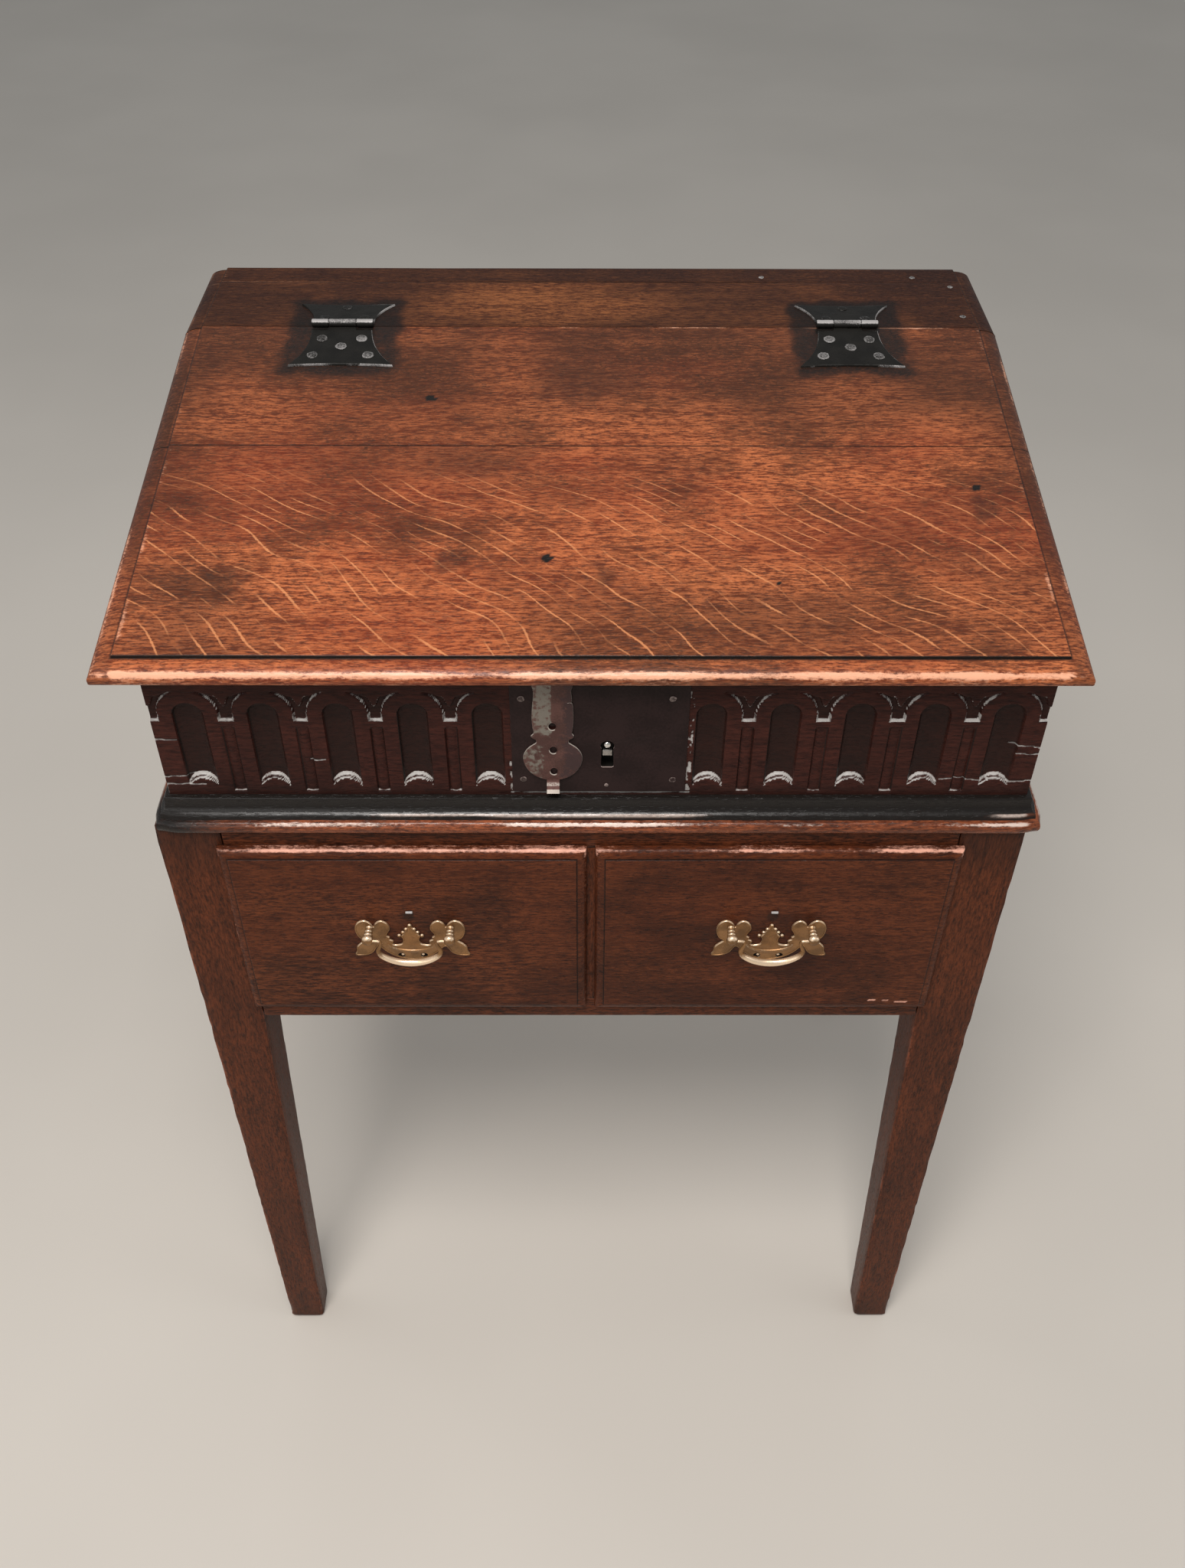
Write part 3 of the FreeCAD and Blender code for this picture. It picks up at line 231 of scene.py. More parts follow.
class Shell:
    """The surfaces that make up one piece, with marks on their points for its finish."""

    def __init__(self):
        self.points, self.faces, self.marks, self.count = [], [], [], 0

    def add(self, points, quads, caps=(), **marks):
        points = np.asarray(points, float).reshape(-1, 3)
        self.points.append(points)
        self.faces += (np.asarray(quads) + self.count).tolist()
        self.faces += [(np.asarray(cap) + self.count).tolist() for cap in caps]
        self.marks.append((len(points), {k: np.ravel(v) for k, v in marks.items()}))
        self.count += len(points)
        return self

    def tube(self, grid, **marks):
        """Add a grid whose rows are rings of points, closed round and capped at both ends."""
        rows, columns = grid.shape[:2]
        first = np.arange(columns)
        return self.add(grid, net(rows, columns, round_columns=True),
                        [first, first + (rows - 1) * columns], **marks)

    def mesh(self, name, crease):
        """One mesh with its doubles merged, its faces turned outwards and its creases sharp."""
        mesh = bpy.data.meshes.new(name)
        mesh.from_pydata(np.concatenate(self.points).tolist(), [], self.faces)
        for mark in sorted({k for _, marks in self.marks for k in marks}):
            values = np.concatenate([
                np.broadcast_to(marks.get(mark, 0.0), (size,)) for size, marks in self.marks
            ])
            layer = mesh.attributes.new(mark, "FLOAT", "POINT")
            layer.data.foreach_set("value", values.astype(np.float32))
        tidy(mesh, crease)
        return mesh


def tidy(mesh, crease):
    """Merge doubles, turn the faces outwards, and shade smooth up to the crease angle."""
    work = bmesh.new()
    work.from_mesh(mesh)
    bmesh.ops.remove_doubles(work, verts=work.verts, dist=0.002 * MM)
    bmesh.ops.dissolve_degenerate(work, edges=work.edges, dist=0.001 * MM)
    bmesh.ops.recalc_face_normals(work, faces=work.faces)
    work.to_mesh(mesh)
    work.free()
    mesh.polygons.foreach_set("use_smooth", np.ones(len(mesh.polygons), bool))
    mesh.set_sharp_from_angle(angle=math.radians(crease))


def place_piece(name, mesh, finish, body, nodes=()):
    """Hang a finished mesh on its body, in place of the nodes that it stands for."""
    piece = bpy.data.objects.new(name, mesh)
    bpy.context.scene.collection.objects.link(piece)
    piece.data.materials.clear()
    piece.data.materials.append(finish)
    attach(piece, body)
    if nodes:
        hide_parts(*nodes)
    return piece


def put(name, shell, finish, body, nodes=(), crease=40):
    """Hang a shell on its body as a mesh of its own."""
    return place_piece(name, shell.mesh(name, crease), finish, body, nodes)


def four_corners(a0, a1, b0, b1):
    """The corners of an outline with four square corners, in order."""
    return [(a0, b0), (a1, b0), (a1, b1), (a0, b1)]


def rectangle(x0, x1, y0, y1, sides=(1, 1, 1, 1)):
    """Plan of a board: u and v run from edge to edge, and the inset moves in from the left,
    right, front and back edges by the factors in sides."""
    left, right, front, back = sides

    def plan(u, v, inset):
        xa, xb = x0 + inset * left, x1 - inset * right
        ya, yb = y0 + inset * front, y1 - inset * back
        return xa + (xb - xa) * u, ya + (yb - ya) * v

    return plan


def slab(plan, levels, columns, rows):
    """A plate: the plan's grid at the first (inset, height) level, then loops round its rim at
    the further levels, closed by the last loop. Gives points, quads, cap and points' insets."""
    u, v = np.meshgrid(columns, rows)
    count = u.size
    rim = border(*u.shape)
    x, y = plan(u, v, levels[0][0])
    points = [np.stack([x, y, np.full(u.shape, levels[0][1])], -1).reshape(-1, 3)]
    insets = [np.full(count, levels[0][0])]
    for inset, height in levels[1:]:
        x, y = plan(u.ravel()[rim], v.ravel()[rim], inset)
        points.append(np.stack([x, y, np.full(x.shape, height)], -1))
        insets.append(np.full(len(rim), inset))
    loops = net(len(levels) - 1, len(rim), round_columns=True) + count
    quads = np.concatenate([net(*u.shape), skirt(rim, count), loops])
    cap = count + (len(levels) - 2) * len(rim) + np.arange(len(rim))
    return np.concatenate(points), quads, [cap], np.concatenate(insets)


def thumb_levels(width, edge, crest, arris, thickness, steps=9):
    """Levels of a thumb moulding: the field's worn arris, a short fall, a quarter of an ellipse
    down to the upright edge, and an eased lower arris with a narrow band of the underside."""
    turn = np.linspace(math.pi / 2, 0, steps)
    thumb = [(width * (1 - math.cos(t)), edge + (crest - edge) * math.sin(t)) for t in turn]
    field = [
        (width + 1.1 * MM, thickness), (width + 0.5 * MM, thickness - 0.12 * MM),
        (width + 0.15 * MM, thickness - 0.5 * MM), (width + 0.02 * MM, crest + 0.35 * MM),
    ]
    foot = [(0, arris), (arris * 0.3, arris * 0.3), (arris, 0), (arris + 1.5 * MM, 0)]
    return field + thumb + foot


def rounded(corners, radius, bend=4, cuts=0):
    """A closed outline with each corner eased by a parabola between points one radius along
    its two sides. Gives the outline and how near each point is to a corner's middle."""
    corners = np.asarray(corners, float)
    outline, worn = [], []
    for place, corner in enumerate(corners):
        before, after = corners[place - 1], corners[(place + 1) % len(corners)]
        a = corner + (before - corner) / np.linalg.norm(before - corner) * radius
        b = corner + (after - corner) / np.linalg.norm(after - corner) * radius
        t = np.linspace(0, 1, bend + 1)[:, None]
        outline.append((1 - t) ** 2 * a + 2 * t * (1 - t) * corner + t ** 2 * b)
        worn.append(1 - np.abs(2 * t[:, 0] - 1))
        end = after + (corner - after) / np.linalg.norm(corner - after) * radius
        run = np.linspace(0, 1, cuts + 2)[1:-1, None]
        outline.append(b + (end - b) * run)
        worn.append(np.zeros(cuts))
    return np.concatenate(outline), np.concatenate(worn)


def bar(shell, corners, place, start, end, radius=1.2 * MM, cuts=10, seed=0):
    """A length of timber: the eased outline carried from start to end and drawn in by the radius
    over its last millimetres, its arrises worn by smooth noise and its flat ends unworn."""
    outline, worn = rounded(corners, radius, cuts=2)
    centre = outline.mean(0)
    half = (outline.max(0) - outline.min(0)) / 2
    run = np.concatenate([
        [start, start, start + radius * 0.3, start + radius],
        np.linspace(start, end, cuts + 2)[1:-1], [end - radius, end - radius * 0.3, end, end],
    ])
    inset = np.zeros(len(run))
    inset[[0, -1]], inset[[1, -2]] = min(radius + 2 * MM, half.min() * 0.7), radius
    inset[[2, -3]] = radius * 0.3
    scale = 1 - inset[:, None, None] / half
    ring = centre + (outline - centre) * scale
    nibble = ripple(run[:, None] * 90, np.arange(len(outline))[None, :] * 0.7, seed)
    bitten = np.abs(nibble)[..., None] * worn[:, None] * 0.35 * MM / half
    ring = centre + (ring - centre) * (1 - bitten)
    along = np.broadcast_to(run[:, None], ring.shape[:2])
    wear = worn[None, :] * (0.55 + nibble) + (inset[:, None] > 0) * 0.3
    wear[[0, -1]] = 0
    return shell.tube(np.stack(place(ring[..., 0], ring[..., 1], along), -1), wear=wear)


def along_x(a, b, t):
    """Lay an outline's two axes across X; along_y and along_z do so across Y and Z."""
    return t, a, b


def along_y(a, b, t):
    return a, t, b


def along_z(a, b, t):
    return a, b, t


def turned(shell, profile, centre, direction, sides=24, rough=0.0, seed=0, highlight_above=None,
           **marks):
    """A turned form: each (distance, radius) of the profile is a ring round the direction. Its
    wear mark may run from one share underneath to another above: a painted highlight on its upper
    side."""
    axis = np.asarray(direction, float)
    across = np.cross(axis, [0.3, 0.5, 0.81])
    across /= np.linalg.norm(across)
    other = np.cross(axis, across)
    run, radius = np.array(profile, float).T
    turn = np.linspace(0, 2 * math.pi, sides, endpoint=False)
    uneven = 1 + rough * ripple(np.arange(len(run))[:, None] * 0.6, turn[None, :] * 1.6, seed)
    reach = radius[:, None] * uneven
    points = (
        np.asarray(centre, float) + run[:, None, None] * axis
        + (reach * np.cos(turn))[..., None] * across + (reach * np.sin(turn))[..., None] * other
    )
    # Painted highlight: the upper side of the form lighter, as if lit from above.
    if highlight_above:
        rise = ease(0.1, 0.85, np.cos(turn) * across[2] + np.sin(turn) * other[2])
        under, above = highlight_above
        proud = radius[:, None] / radius.max()
        marks["wear"] = (under + (above - under) * rise) * proud
    return shell.tube(points, **marks)


def tipped(points):
    """Turn level points about the hinge line by the lid's slope, front edge down."""
    slope = bpy.context.scene.bible_lid.slope
    points = np.array(points, float)
    y, z = points[:, 1] - HINGE_Y, points[:, 2] - LEDGE_TOP
    points[:, 1] = HINGE_Y + y * math.cos(slope) - z * math.sin(slope)
    points[:, 2] = LEDGE_TOP + y * math.sin(slope) + z * math.cos(slope)
    return points


def cut_plate(name, outlines, thickness, bevel, place):
    """A pierced plate: a flat filled curve with bevelled edges, made a mesh and put in place.
    The first outline is the rim and the others are holes."""
    curve = bpy.data.curves.new(name, "CURVE")
    curve.dimensions, curve.fill_mode = "2D", "BOTH"
    curve.extrude, curve.bevel_depth = thickness / 2 - bevel, bevel
    curve.bevel_resolution, curve.offset = 2, -bevel
    for outline in outlines:
        spline = curve.splines.new("POLY")
        spline.points.add(len(outline) - 1)
        flat = np.zeros((len(outline), 4))
        flat[:, :2], flat[:, 3] = outline, 1
        spline.points.foreach_set("co", flat.ravel())
        spline.use_cyclic_u = True
    holder = bpy.data.objects.new(name, curve)
    mesh = bpy.data.meshes.new_from_object(holder)
    bpy.data.objects.remove(holder)
    points = np.zeros(len(mesh.vertices) * 3)
    mesh.vertices.foreach_get("co", points)
    points = points.reshape(-1, 3)
    # The bevelled edges are marked worn: rubbed metal and a painted highlight along the rims.
    rim = np.abs(points[:, 2]) < thickness / 2 - bevel * 0.5
    moved = np.stack(place(points[:, 0], points[:, 1], points[:, 2]), -1)
    mesh.vertices.foreach_set("co", moved.ravel())
    layer = mesh.attributes.new("wear", "FLOAT", "POINT")
    layer.data.foreach_set("value", rim.astype(np.float32))
    tidy(mesh, 40)
    return mesh


def smooth_loop(knots, count=8):
    """A closed curve through its knots: Catmull and Rom's cubic between each pair."""
    knots = np.asarray(knots, float)
    before, after, beyond = np.roll(knots, 1, 0), np.roll(knots, -1, 0), np.roll(knots, -2, 0)
    t = np.linspace(0, 1, count, endpoint=False)[None, :, None]
    a, b, c, d = (k[:, None, :] for k in (before, knots, after, beyond))
    curve = b + 0.5 * t * (c - a + t * (2 * a - 5 * b + 4 * c - d + t * (3 * (b - c) + d - a)))
    return curve.reshape(-1, 2)


def circle(x, y, radius, sides=20):
    """A regular outline round a centre."""
    turn = np.linspace(0, 2 * math.pi, sides, endpoint=False)
    return np.stack([x + radius * np.cos(turn), y + radius * np.sin(turn)], -1)


# Finishes

class Tap:
    """One output of a node. Arithmetic on it adds Math nodes to its recipe."""

    def __init__(self, recipe, socket):
        self.recipe, self.socket = recipe, socket

    def math(self, operation, *values):
        return self.recipe.node(
            "ShaderNodeMath", {"operation": operation}, dict(enumerate(values)))

    def __add__(self, other):
        return self.math("ADD", self, other)

    def __sub__(self, other):
        return self.math("SUBTRACT", self, other)

    def __rsub__(self, other):
        return self.math("SUBTRACT", other, self)

    def __mul__(self, other):
        return self.math("MULTIPLY", self, other)

    def __truediv__(self, other):
        return self.math("DIVIDE", self, other)

    __radd__, __rmul__ = __add__, __mul__

    def peak(self):
        """Its distance from the middle of its own unit step: 0 at the middle, 0.5 at the ends."""
        return self.math("ABSOLUTE", self.math("FRACT", self) - 0.5)

    def step(self, start, end):
        return self.recipe.node(
            "ShaderNodeMapRange", {"interpolation_type": "SMOOTHSTEP"},
            {0: self, 1: start, 2: end, 3: 0.0, 4: 1.0},
        )


class Recipe:
    """A material and the nodes that feed its shader."""

    def __init__(self, name, **constants):
        self.material = bpy.data.materials.new(name)
        self.material.use_nodes = True
        self.tree = self.material.node_tree
        self.shader = self.tree.nodes["Principled BSDF"]
        for socket, value in constants.items():
            self.shader.inputs[socket.replace("_", " ")].default_value = value
        self.place = self.node("ShaderNodeTexCoord", output="Object")

    def node(self, kind, settings=None, values=None, output=0):
        """Add a node: its settings first, then the values or links of its inputs."""
        made = self.tree.nodes.new(kind)
        for setting, value in (settings or {}).items():
            setattr(made, setting, value)
        for key, value in (values or {}).items():
            self.feed(made.inputs[key], value)
        return Tap(self, made.outputs[output])

    def feed(self, socket, value):
        if isinstance(value, Tap):
            self.tree.links.new(value.socket, socket)
        elif socket.type == "RGBA" and len(value) == 3:
            socket.default_value = (*value, 1.0)
        else:
            socket.default_value = value

    def give(self, **values):
        for socket, value in values.items():
            self.feed(self.shader.inputs[socket.replace("_", " ")], value)
        return self.material

    def vector(self, operation, *values):
        return self.node(
            "ShaderNodeVectorMath", {"operation": operation}, dict(enumerate(values)))

    def scaled(self, vector, scale):
        return self.vector("MULTIPLY", vector, scale)

    def axis(self, vector, name):
        return self.node("ShaderNodeSeparateXYZ", None, {0: vector}, name)

    def noise(self, vector, detail=2.0, roughness=0.5, output=0):
        values = {"Vector": vector, "Scale": 1.0, "Detail": detail, "Roughness": roughness}
        return self.node("ShaderNodeTexNoise", None, values, output)

    def mark(self, name):
        return self.node("ShaderNodeAttribute", {"attribute_name": name}, output="Fac")

    def mix(self, factor, first, second):
        values = {0: factor, 6: first, 7: second}
        return self.node("ShaderNodeMix", {"data_type": "RGBA"}, values, 2)

    def bump(self, height, distance, strength=1.0):
        values = {"Strength": strength, "Distance": distance, "Height": height}
        return self.node("ShaderNodeBump", None, values)


def grain_scale(grain, along, across):
    """One scale along the grain's axis and another across it."""
    return tuple(along if axis == grain else across for axis in "xyz")


def oak(name, grain, pale, deep, dark, rubbed_and_highlight, stain=(0.010, 0.008, 0.007), patches=0.6,
        contrast=1.0, gloss=0.42, shine=0.2, coat=0.05, flecks=None, shift=0.0, pitted=0.5,
        fine=1.0, warm=None):
    """Quartered oak: growth bands and fine streaks drawn out along the grain, short dark pores,
    broad warm and dark patches broken up by mottle, then the piece's own marks: flecks; age, which
    on the lid also holds painted shade; wear, which also holds painted highlights and glints; and
    stain, which also holds painted shade and painted shadow."""
    r = Recipe(name, Coat_Weight=coat, Coat_Roughness=0.2, Specular_IOR_Level=shine)
    base = r.vector("ADD", r.place, (shift,) * 3)
    sway = r.noise(r.scaled(base, grain_scale(grain, 5.0, 9.0)), 1.0, output="Color")
    swayed = r.vector("MULTIPLY_ADD", sway, grain_scale(grain, 0.0, 0.012), base)
    bands = r.noise(r.scaled(swayed, grain_scale(grain, 6.0 * fine, 110.0 * fine)), 3.0, 0.6)
    streaks = r.noise(r.scaled(swayed, grain_scale(grain, 95.0 * fine, 560.0 * fine)), 2.0, 0.65)
    pores = r.noise(r.scaled(swayed, grain_scale(grain, 150.0, 900.0)), 1.0).step(0.56, 0.68)
    broad = r.noise(r.scaled(base, grain_scale(grain, 10.0, 14.0)), 3.0, 0.55)
    cast = r.noise(r.scaled(base, grain_scale(grain, 3.0, 6.0)), 2.0, 0.5)
    mottle = r.noise(r.scaled(base, grain_scale(grain, 300.0, 460.0)), 3.0, 0.7)
    figure = bands * 0.2 + streaks * 0.48 + mottle * 0.32
    figure = figure.step(0.5 - 0.12 / contrast, 0.5 + 0.12 / contrast)
    hue = r.mix(figure, deep, pale)
    if warm:
        hue = r.mix((cast + (mottle - 0.5) * 0.5).step(0.4, 0.66) * 0.5, hue, warm)
    shade = (broad + (mottle - 0.5) * 0.7).step(0.46, 0.72) * patches
    hue = r.mix(shade, hue, dark)
    # Age darkens towards the dark colour; on the lid it also paints shade towards the hinges.
    hue = r.mix(r.mark("age") * ((mottle - 0.5) * 0.9 + 0.9), hue, dark)
    hue = r.mix(pores * (shade * 0.5 + pitted), hue, dark)
    if flecks:
        hue = r.mix(ray_flecks(r, base) * r.mark("fleck"), hue, flecks)
    # Wear lightens towards the rubbed colour: real wear, and painted highlights and glints.
    wear = (r.mark("wear") + (mottle - 0.5) * 0.8 + (streaks - 0.5) * 0.6).step(0.3, 0.8)
    hue = r.mix(wear * 0.9, hue, rubbed_and_highlight)
    # Stain darkens: real stains and joints, and painted shade in hollows and under overhangs.
    soot = (r.mark("stain") + (mottle - 0.5) * 0.5 + (streaks - 0.5) * 0.3).step(0.1, 0.95)
    hue = r.mix(soot, hue, stain)
    roughness = (streaks - 0.5) * 0.2 + (mottle - 0.5) * 0.2 + pores * 0.12 + gloss - wear * 0.12
    relief = streaks * 0.5 + bands * 0.2 - pores * 0.8 + mottle * 0.35
    return r.give(Base_Color=hue, Roughness=roughness, Normal=r.bump(relief, 0.3 * MM, 0.6))


def ray_flecks(r, base):
    """Pale lines that run down to the right and steepen on their way: the middles of bands across
    the board, bent by slow noise, of uneven width, and broken by noise drawn out along them."""
    bend = r.noise(r.scaled(base, (6.0, 8.0, 8.0)), 2.0)
    across, along = r.axis(base, "X"), r.axis(base, "Y")
    lines = across * 50.0 + along * 92.0 + along * along * 105.0 + bend * 4.5
    run = {0: (across - along * 0.7) * 14.0, 1: lines * 0.9, 2: 0.0}
    broken = r.noise(r.node("ShaderNodeCombineXYZ", None, run), 2.0, 0.6)
    fine = r.noise(r.scaled(base, (300.0, 420.0, 420.0)), 2.0)
    width = broken * 0.09 - 0.03
    line = 1.0 - (lines.peak() - width + (fine - 0.5) * 0.14).step(0.0, 0.055)
    return line * broken.step(0.43, 0.6) * 0.66


def metal(name, base, worn, roughness, metallic=1.0, dints=0.5, scale=260.0, skins=(), shine=0.5):
    """Hammered and handled metal: a dull surface with soft dints, rubbed bright and given painted
    highlights where it is marked as worn, and of another colour where one of its skins' masks says
    so."""
    r = Recipe(name, Specular_IOR_Level=shine)
    broad = r.noise(r.scaled(r.place, (scale * 0.2,) * 3), 3.0)
    fine = r.noise(r.scaled(r.place, (scale * 3,) * 3), 3.0, 0.65)
    middling = r.noise(r.scaled(r.place, (scale,) * 3), 1.0)
    hue = r.mix((broad + (fine - 0.5) * 0.6).step(0.35, 0.65), base, tuple(c * 0.62 for c in base))
    for shade, mask in skins:
        patch = (mask(r) + (fine - 0.5) * 0.9 + (middling - 0.5) * 1.5).step(0.3, 0.78)
        hue = r.mix(patch * 0.85, hue, shade)
    bare = (r.mark("wear") + (fine - 0.5) * 0.7 + (broad - 0.5) * 0.5).step(0.35, 0.85)
    hue = r.mix(bare, hue, worn)
    rough = (fine - 0.5) * 0.2 + roughness - bare * (roughness * 0.3)
    relief = middling + fine * 0.3
    return r.give(
        Base_Color=hue, Roughness=rough, Metallic=metallic,
        Normal=r.bump(relief, 0.3 * MM, dints),
    )


def hasp_bare(r):
    """Bare metal on the left half of the hasp's strap and, fainter, on the left of its bulb."""
    across = r.axis(r.place, "X") - middle("hasp").x
    up = r.axis(r.place, "Z")
    strap = (1.0 - across.step(-1.2 * MM, 0.4 * MM)) * up.step(893 * MM, 901 * MM)
    strap = strap * (across.step(-15 * MM, -7 * MM) * 0.24 + 0.52)
    bulb = (1.0 - across.step(-10.5 * MM, -4.0 * MM)) * (1.0 - up.step(883 * MM, 889 * MM))
    return strap.math("MAXIMUM", strap, bulb * 0.46)


def hasp_grime(r):
    """Dark grime on the right of the hasp's bulb and up the right of its strap."""
    across = r.axis(r.place, "X") - middle("hasp").x
    return across.step(1 * MM, 14 * MM) * 0.85


def chosen(group, *names):
    """Colours of a settings group as plain tuples."""
    settings = getattr(bpy.context.scene, group)
    return [tuple(getattr(settings, name)) for name in names]


def finish_makers():
    """What makes each finish, by the name that the pieces ask for."""
    lid = chosen("bible_oak", "lid_pale", "lid_deep", "lid_dark", "rubbed_and_highlight")
    ray, = chosen("bible_oak", "ray")
    front = chosen("bible_oak", "front_pale", "front_deep")
    # The carved front's pale grey is the colour of the painted highlights on its ledges.
    front += [tone(22, 14, 13), tone(176, 172, 168)]
    stand = chosen("bible_oak", "stand_pale", "stand_deep")
    stand += [tone(34, 18, 14), tone(124, 66, 42)]
    inside = chosen("bible_oak", "inside_pale", "inside_deep")
    inside += [tone(84, 58, 38), tone(178, 138, 96)]
    # The moulding's pale is rubbed wood and its painted glints and nose highlight.
    edging = (tone(150, 82, 50), tone(76, 38, 25), tone(34, 20, 16), tone(226, 206, 194))
    ledge = (tone(142, 86, 50), tone(76, 39, 23), tone(40, 22, 17), tone(146, 100, 74))
    # The drawer's pale is rubbed wood and the painted highlight along its top lip.
    drawer = (tone(110, 59, 34), tone(50, 25, 17), tone(36, 19, 14), tone(222, 164, 142))
    box_back = (tone(112, 72, 50), tone(72, 44, 32), tone(40, 26, 22), tone(140, 98, 70))
    iron = chosen("bible_metal", "iron", "iron_worn_and_highlight")
    hasp, hasp_worn = chosen("bible_metal", "hasp", "hasp_worn")
    brass = chosen("bible_metal", "brass", "brass_worn_and_highlight")
    steel, = chosen("bible_metal", "steel")
    dull = dict(shine=0.12, coat=0.0)
    dry = dict(gloss=0.7, coat=0.0)
    polished = dict(gloss=0.28, shine=0.22, coat=0.1)
    return {
        "lid": lambda: oak("lid oak", "x", *lid, flecks=ray, patches=0.66, contrast=1.4, gloss=0.4,
                           shine=0.2, warm=tone(120, 44, 25)),
        "ledge": lambda: oak("ledge oak", "x", *ledge, patches=0.6, shine=0.08, shift=0.37,
                             gloss=0.5, contrast=1.2),
        "front": lambda: oak("carved front oak", "x", *front, patches=0.4, gloss=0.34, shine=0.08,
                             coat=0.0, shift=1.1, fine=0.8, contrast=0.6, pitted=0.2),
        "moulding": lambda: oak("moulding oak", "x", *edging, **polished),
        "moulding_side": lambda: oak("side moulding oak", "y", *edging, **polished),
        "box_side": lambda: oak("box side oak", "y", *front, shift=2.3),
        "box_back": lambda: oak("box back oak", "x", *box_back, gloss=0.6, coat=0.0),
        "rail": lambda: oak("rail oak", "x", *stand, shift=0.8, patches=0.35, **dull),
        "post": lambda: oak("leg oak", "z", *stand, shift=1.7, patches=0.3, contrast=0.7,
                            pitted=0.3, **dull),
        "apron": lambda: oak("apron oak", "y", *stand, shift=2.9, patches=0.3, **dull),
        "drawer": lambda: oak("drawer front oak", "x", *drawer, patches=0.6, gloss=0.34, shine=0.1,
                              coat=0.0, shift=3.3, contrast=1.1, warm=tone(84, 40, 22)),
        "inside": lambda: oak("dry oak", "y", *inside, **dry),
        "inside_wide": lambda: oak("dry oak across", "x", *inside, **dry),
        "iron": lambda: metal("black iron", *iron, 0.52, metallic=0.1, scale=300.0, shine=0.22),
        "lock_iron": lambda: metal("lock iron", tone(40, 27, 26), tone(140, 124, 118), 0.45,
                                   metallic=0.0, scale=150.0, shine=0.12, dints=0.35),
        # The hasp's pale is worn metal and the painted highlights on its burrs and lip.
        "hasp": lambda: metal("hasp metal", hasp, tone(190, 178, 168), 0.5, metallic=0.35,
                              shine=0.3, skins=((hasp_worn, hasp_bare),
                                                (tone(62, 46, 46), hasp_grime))),
        "brass": lambda: metal("aged brass", *brass, 0.44, metallic=0.62, dints=0.12, scale=420.0),
        "steel": lambda: metal("bare steel", steel, tone(226, 224, 220), 0.35, dints=0.2,
                               scale=500.0),
    }


def finish(name):
    """Look up a finish, making it the first time that a piece asks for it."""
    if name not in finish.made:
        finish.made[name] = finish_makers()[name]()
    return finish.made[name]


finish.made = {}


def paint_nodes(name, *nodes):
    """Give shown CAD nodes a finish through their own material slots."""
    for node in nodes:
        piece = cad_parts[node]
        if not piece.material_slots:
            piece.data.materials.append(None)
        for slot in piece.material_slots:
            slot.material = finish(name)


# Lid, ledge and strip

SMUDGES = [
    # across, down the slope, half width and half depth, strength; in millimetres
    (-273, 316, 30, 24, 0.42), (-292, 362, 40, 26, 0.34), (-107, 299, 15, 13, 0.5),
    (-153, 277, 22, 15, 0.38), (9, 311, 10, 17, 0.45), (310, 240, 13, 18, 0.5),
    (262, 231, 10, 8, 0.42), (-98, 184, 46, 24, 0.36), (-6, 76, 58, 34, 0.4),
    (-107, 129, 22, 12, 0.42), (282, 302, 32, 26, 0.36), (-210, 194, 34, 16, 0.26),
    (158, 154, 44, 10, 0.3), (-316, 232, 18, 18, 0.3), (90, 60, 60, 30, 0.25),
    (330, 90, 22, 60, 0.3), (-330, 60, 20, 40, 0.2), (180, 345, 60, 22, 0.2),
]
KNOTS = [
    # across, down the slope, half width and half depth; in millimetres
    (-135, 102, 4.6, 3.8), (-34, 296, 4.4, 3.6), (305, 214, 3.4, 2.8), (140, 322, 3.0, 1.6),
]


def halo(x, down, centre):
    """Iron stain round a hinge: a rounded box's distance, bent by noise and faded at its edge."""
    across = np.maximum(np.abs(x - centre) - 42 * MM, 0)
    beyond = np.maximum(np.maximum(-down - 46 * MM, down - 60 * MM), 0)
    far = np.hypot(across, beyond) + ripple(x * 60, down * 60, 8) * 9 * MM
    return 1 - ease(-2 * MM, 21 * MM, far)


def hinge_centres():
    return [middle("hinge_left_lid_leaf").x, middle("hinge_right_lid_leaf").x]


def top_age_and_shade(x, down):
    """How dark each point of the top is: the lid darkens towards its hinges, which is painted
    shade, the ledge is paler about its middle, and the strip at the back is dark."""
    # Painted shade: the lid darker towards its hinges, with random tone over it.
    lid = 0.8 * (1 - ease(-20 * MM, 330 * MM, down)) + 0.9 * ripple(x * 7, down * 11, 6)
    golden = np.hypot((x / MM + 38) / 120, (down / MM + 51) / 60)
    ledge = 0.72 - 0.6 * (1 - ease(0.4, 1.1, golden)) + 0.5 * ripple(x * 9, down * 16, 7)
    age = np.where(down < 0, ledge, lid)
    age += 0.25 * ease(0.2, 0.34, np.abs(x)) + 0.2 * ease(0.27, 0.33, x) * (down < 0)
    strip = HINGE_Y - low("ledge_back_strip").y
    return np.where(down < strip, 0.85 + 0.3 * ripple(x * 9, 0.5, 17), np.clip(age, 0, 0.9))


def spots(x, down):
    """Stain of the smudges and knots: ellipses with broken or with firm edges."""
    stain = np.zeros(x.shape)
    for cx, cy, rx, ry, strength in SMUDGES:
        far = np.hypot((x / MM - cx) / rx, (down / MM - cy) / ry)
        broken = ripple(x * 70, down * 70, 5) * 0.8
        stain = np.maximum(stain, strength * (1 - ease(0.45, 1.35, far + broken)))
    for cx, cy, rx, ry in KNOTS:
        far = np.hypot((x / MM - cx) / rx, (down / MM - cy) / ry)
        stain = np.maximum(stain, 1.3 * (1 - ease(0.85, 1.15, far)))
    return stain


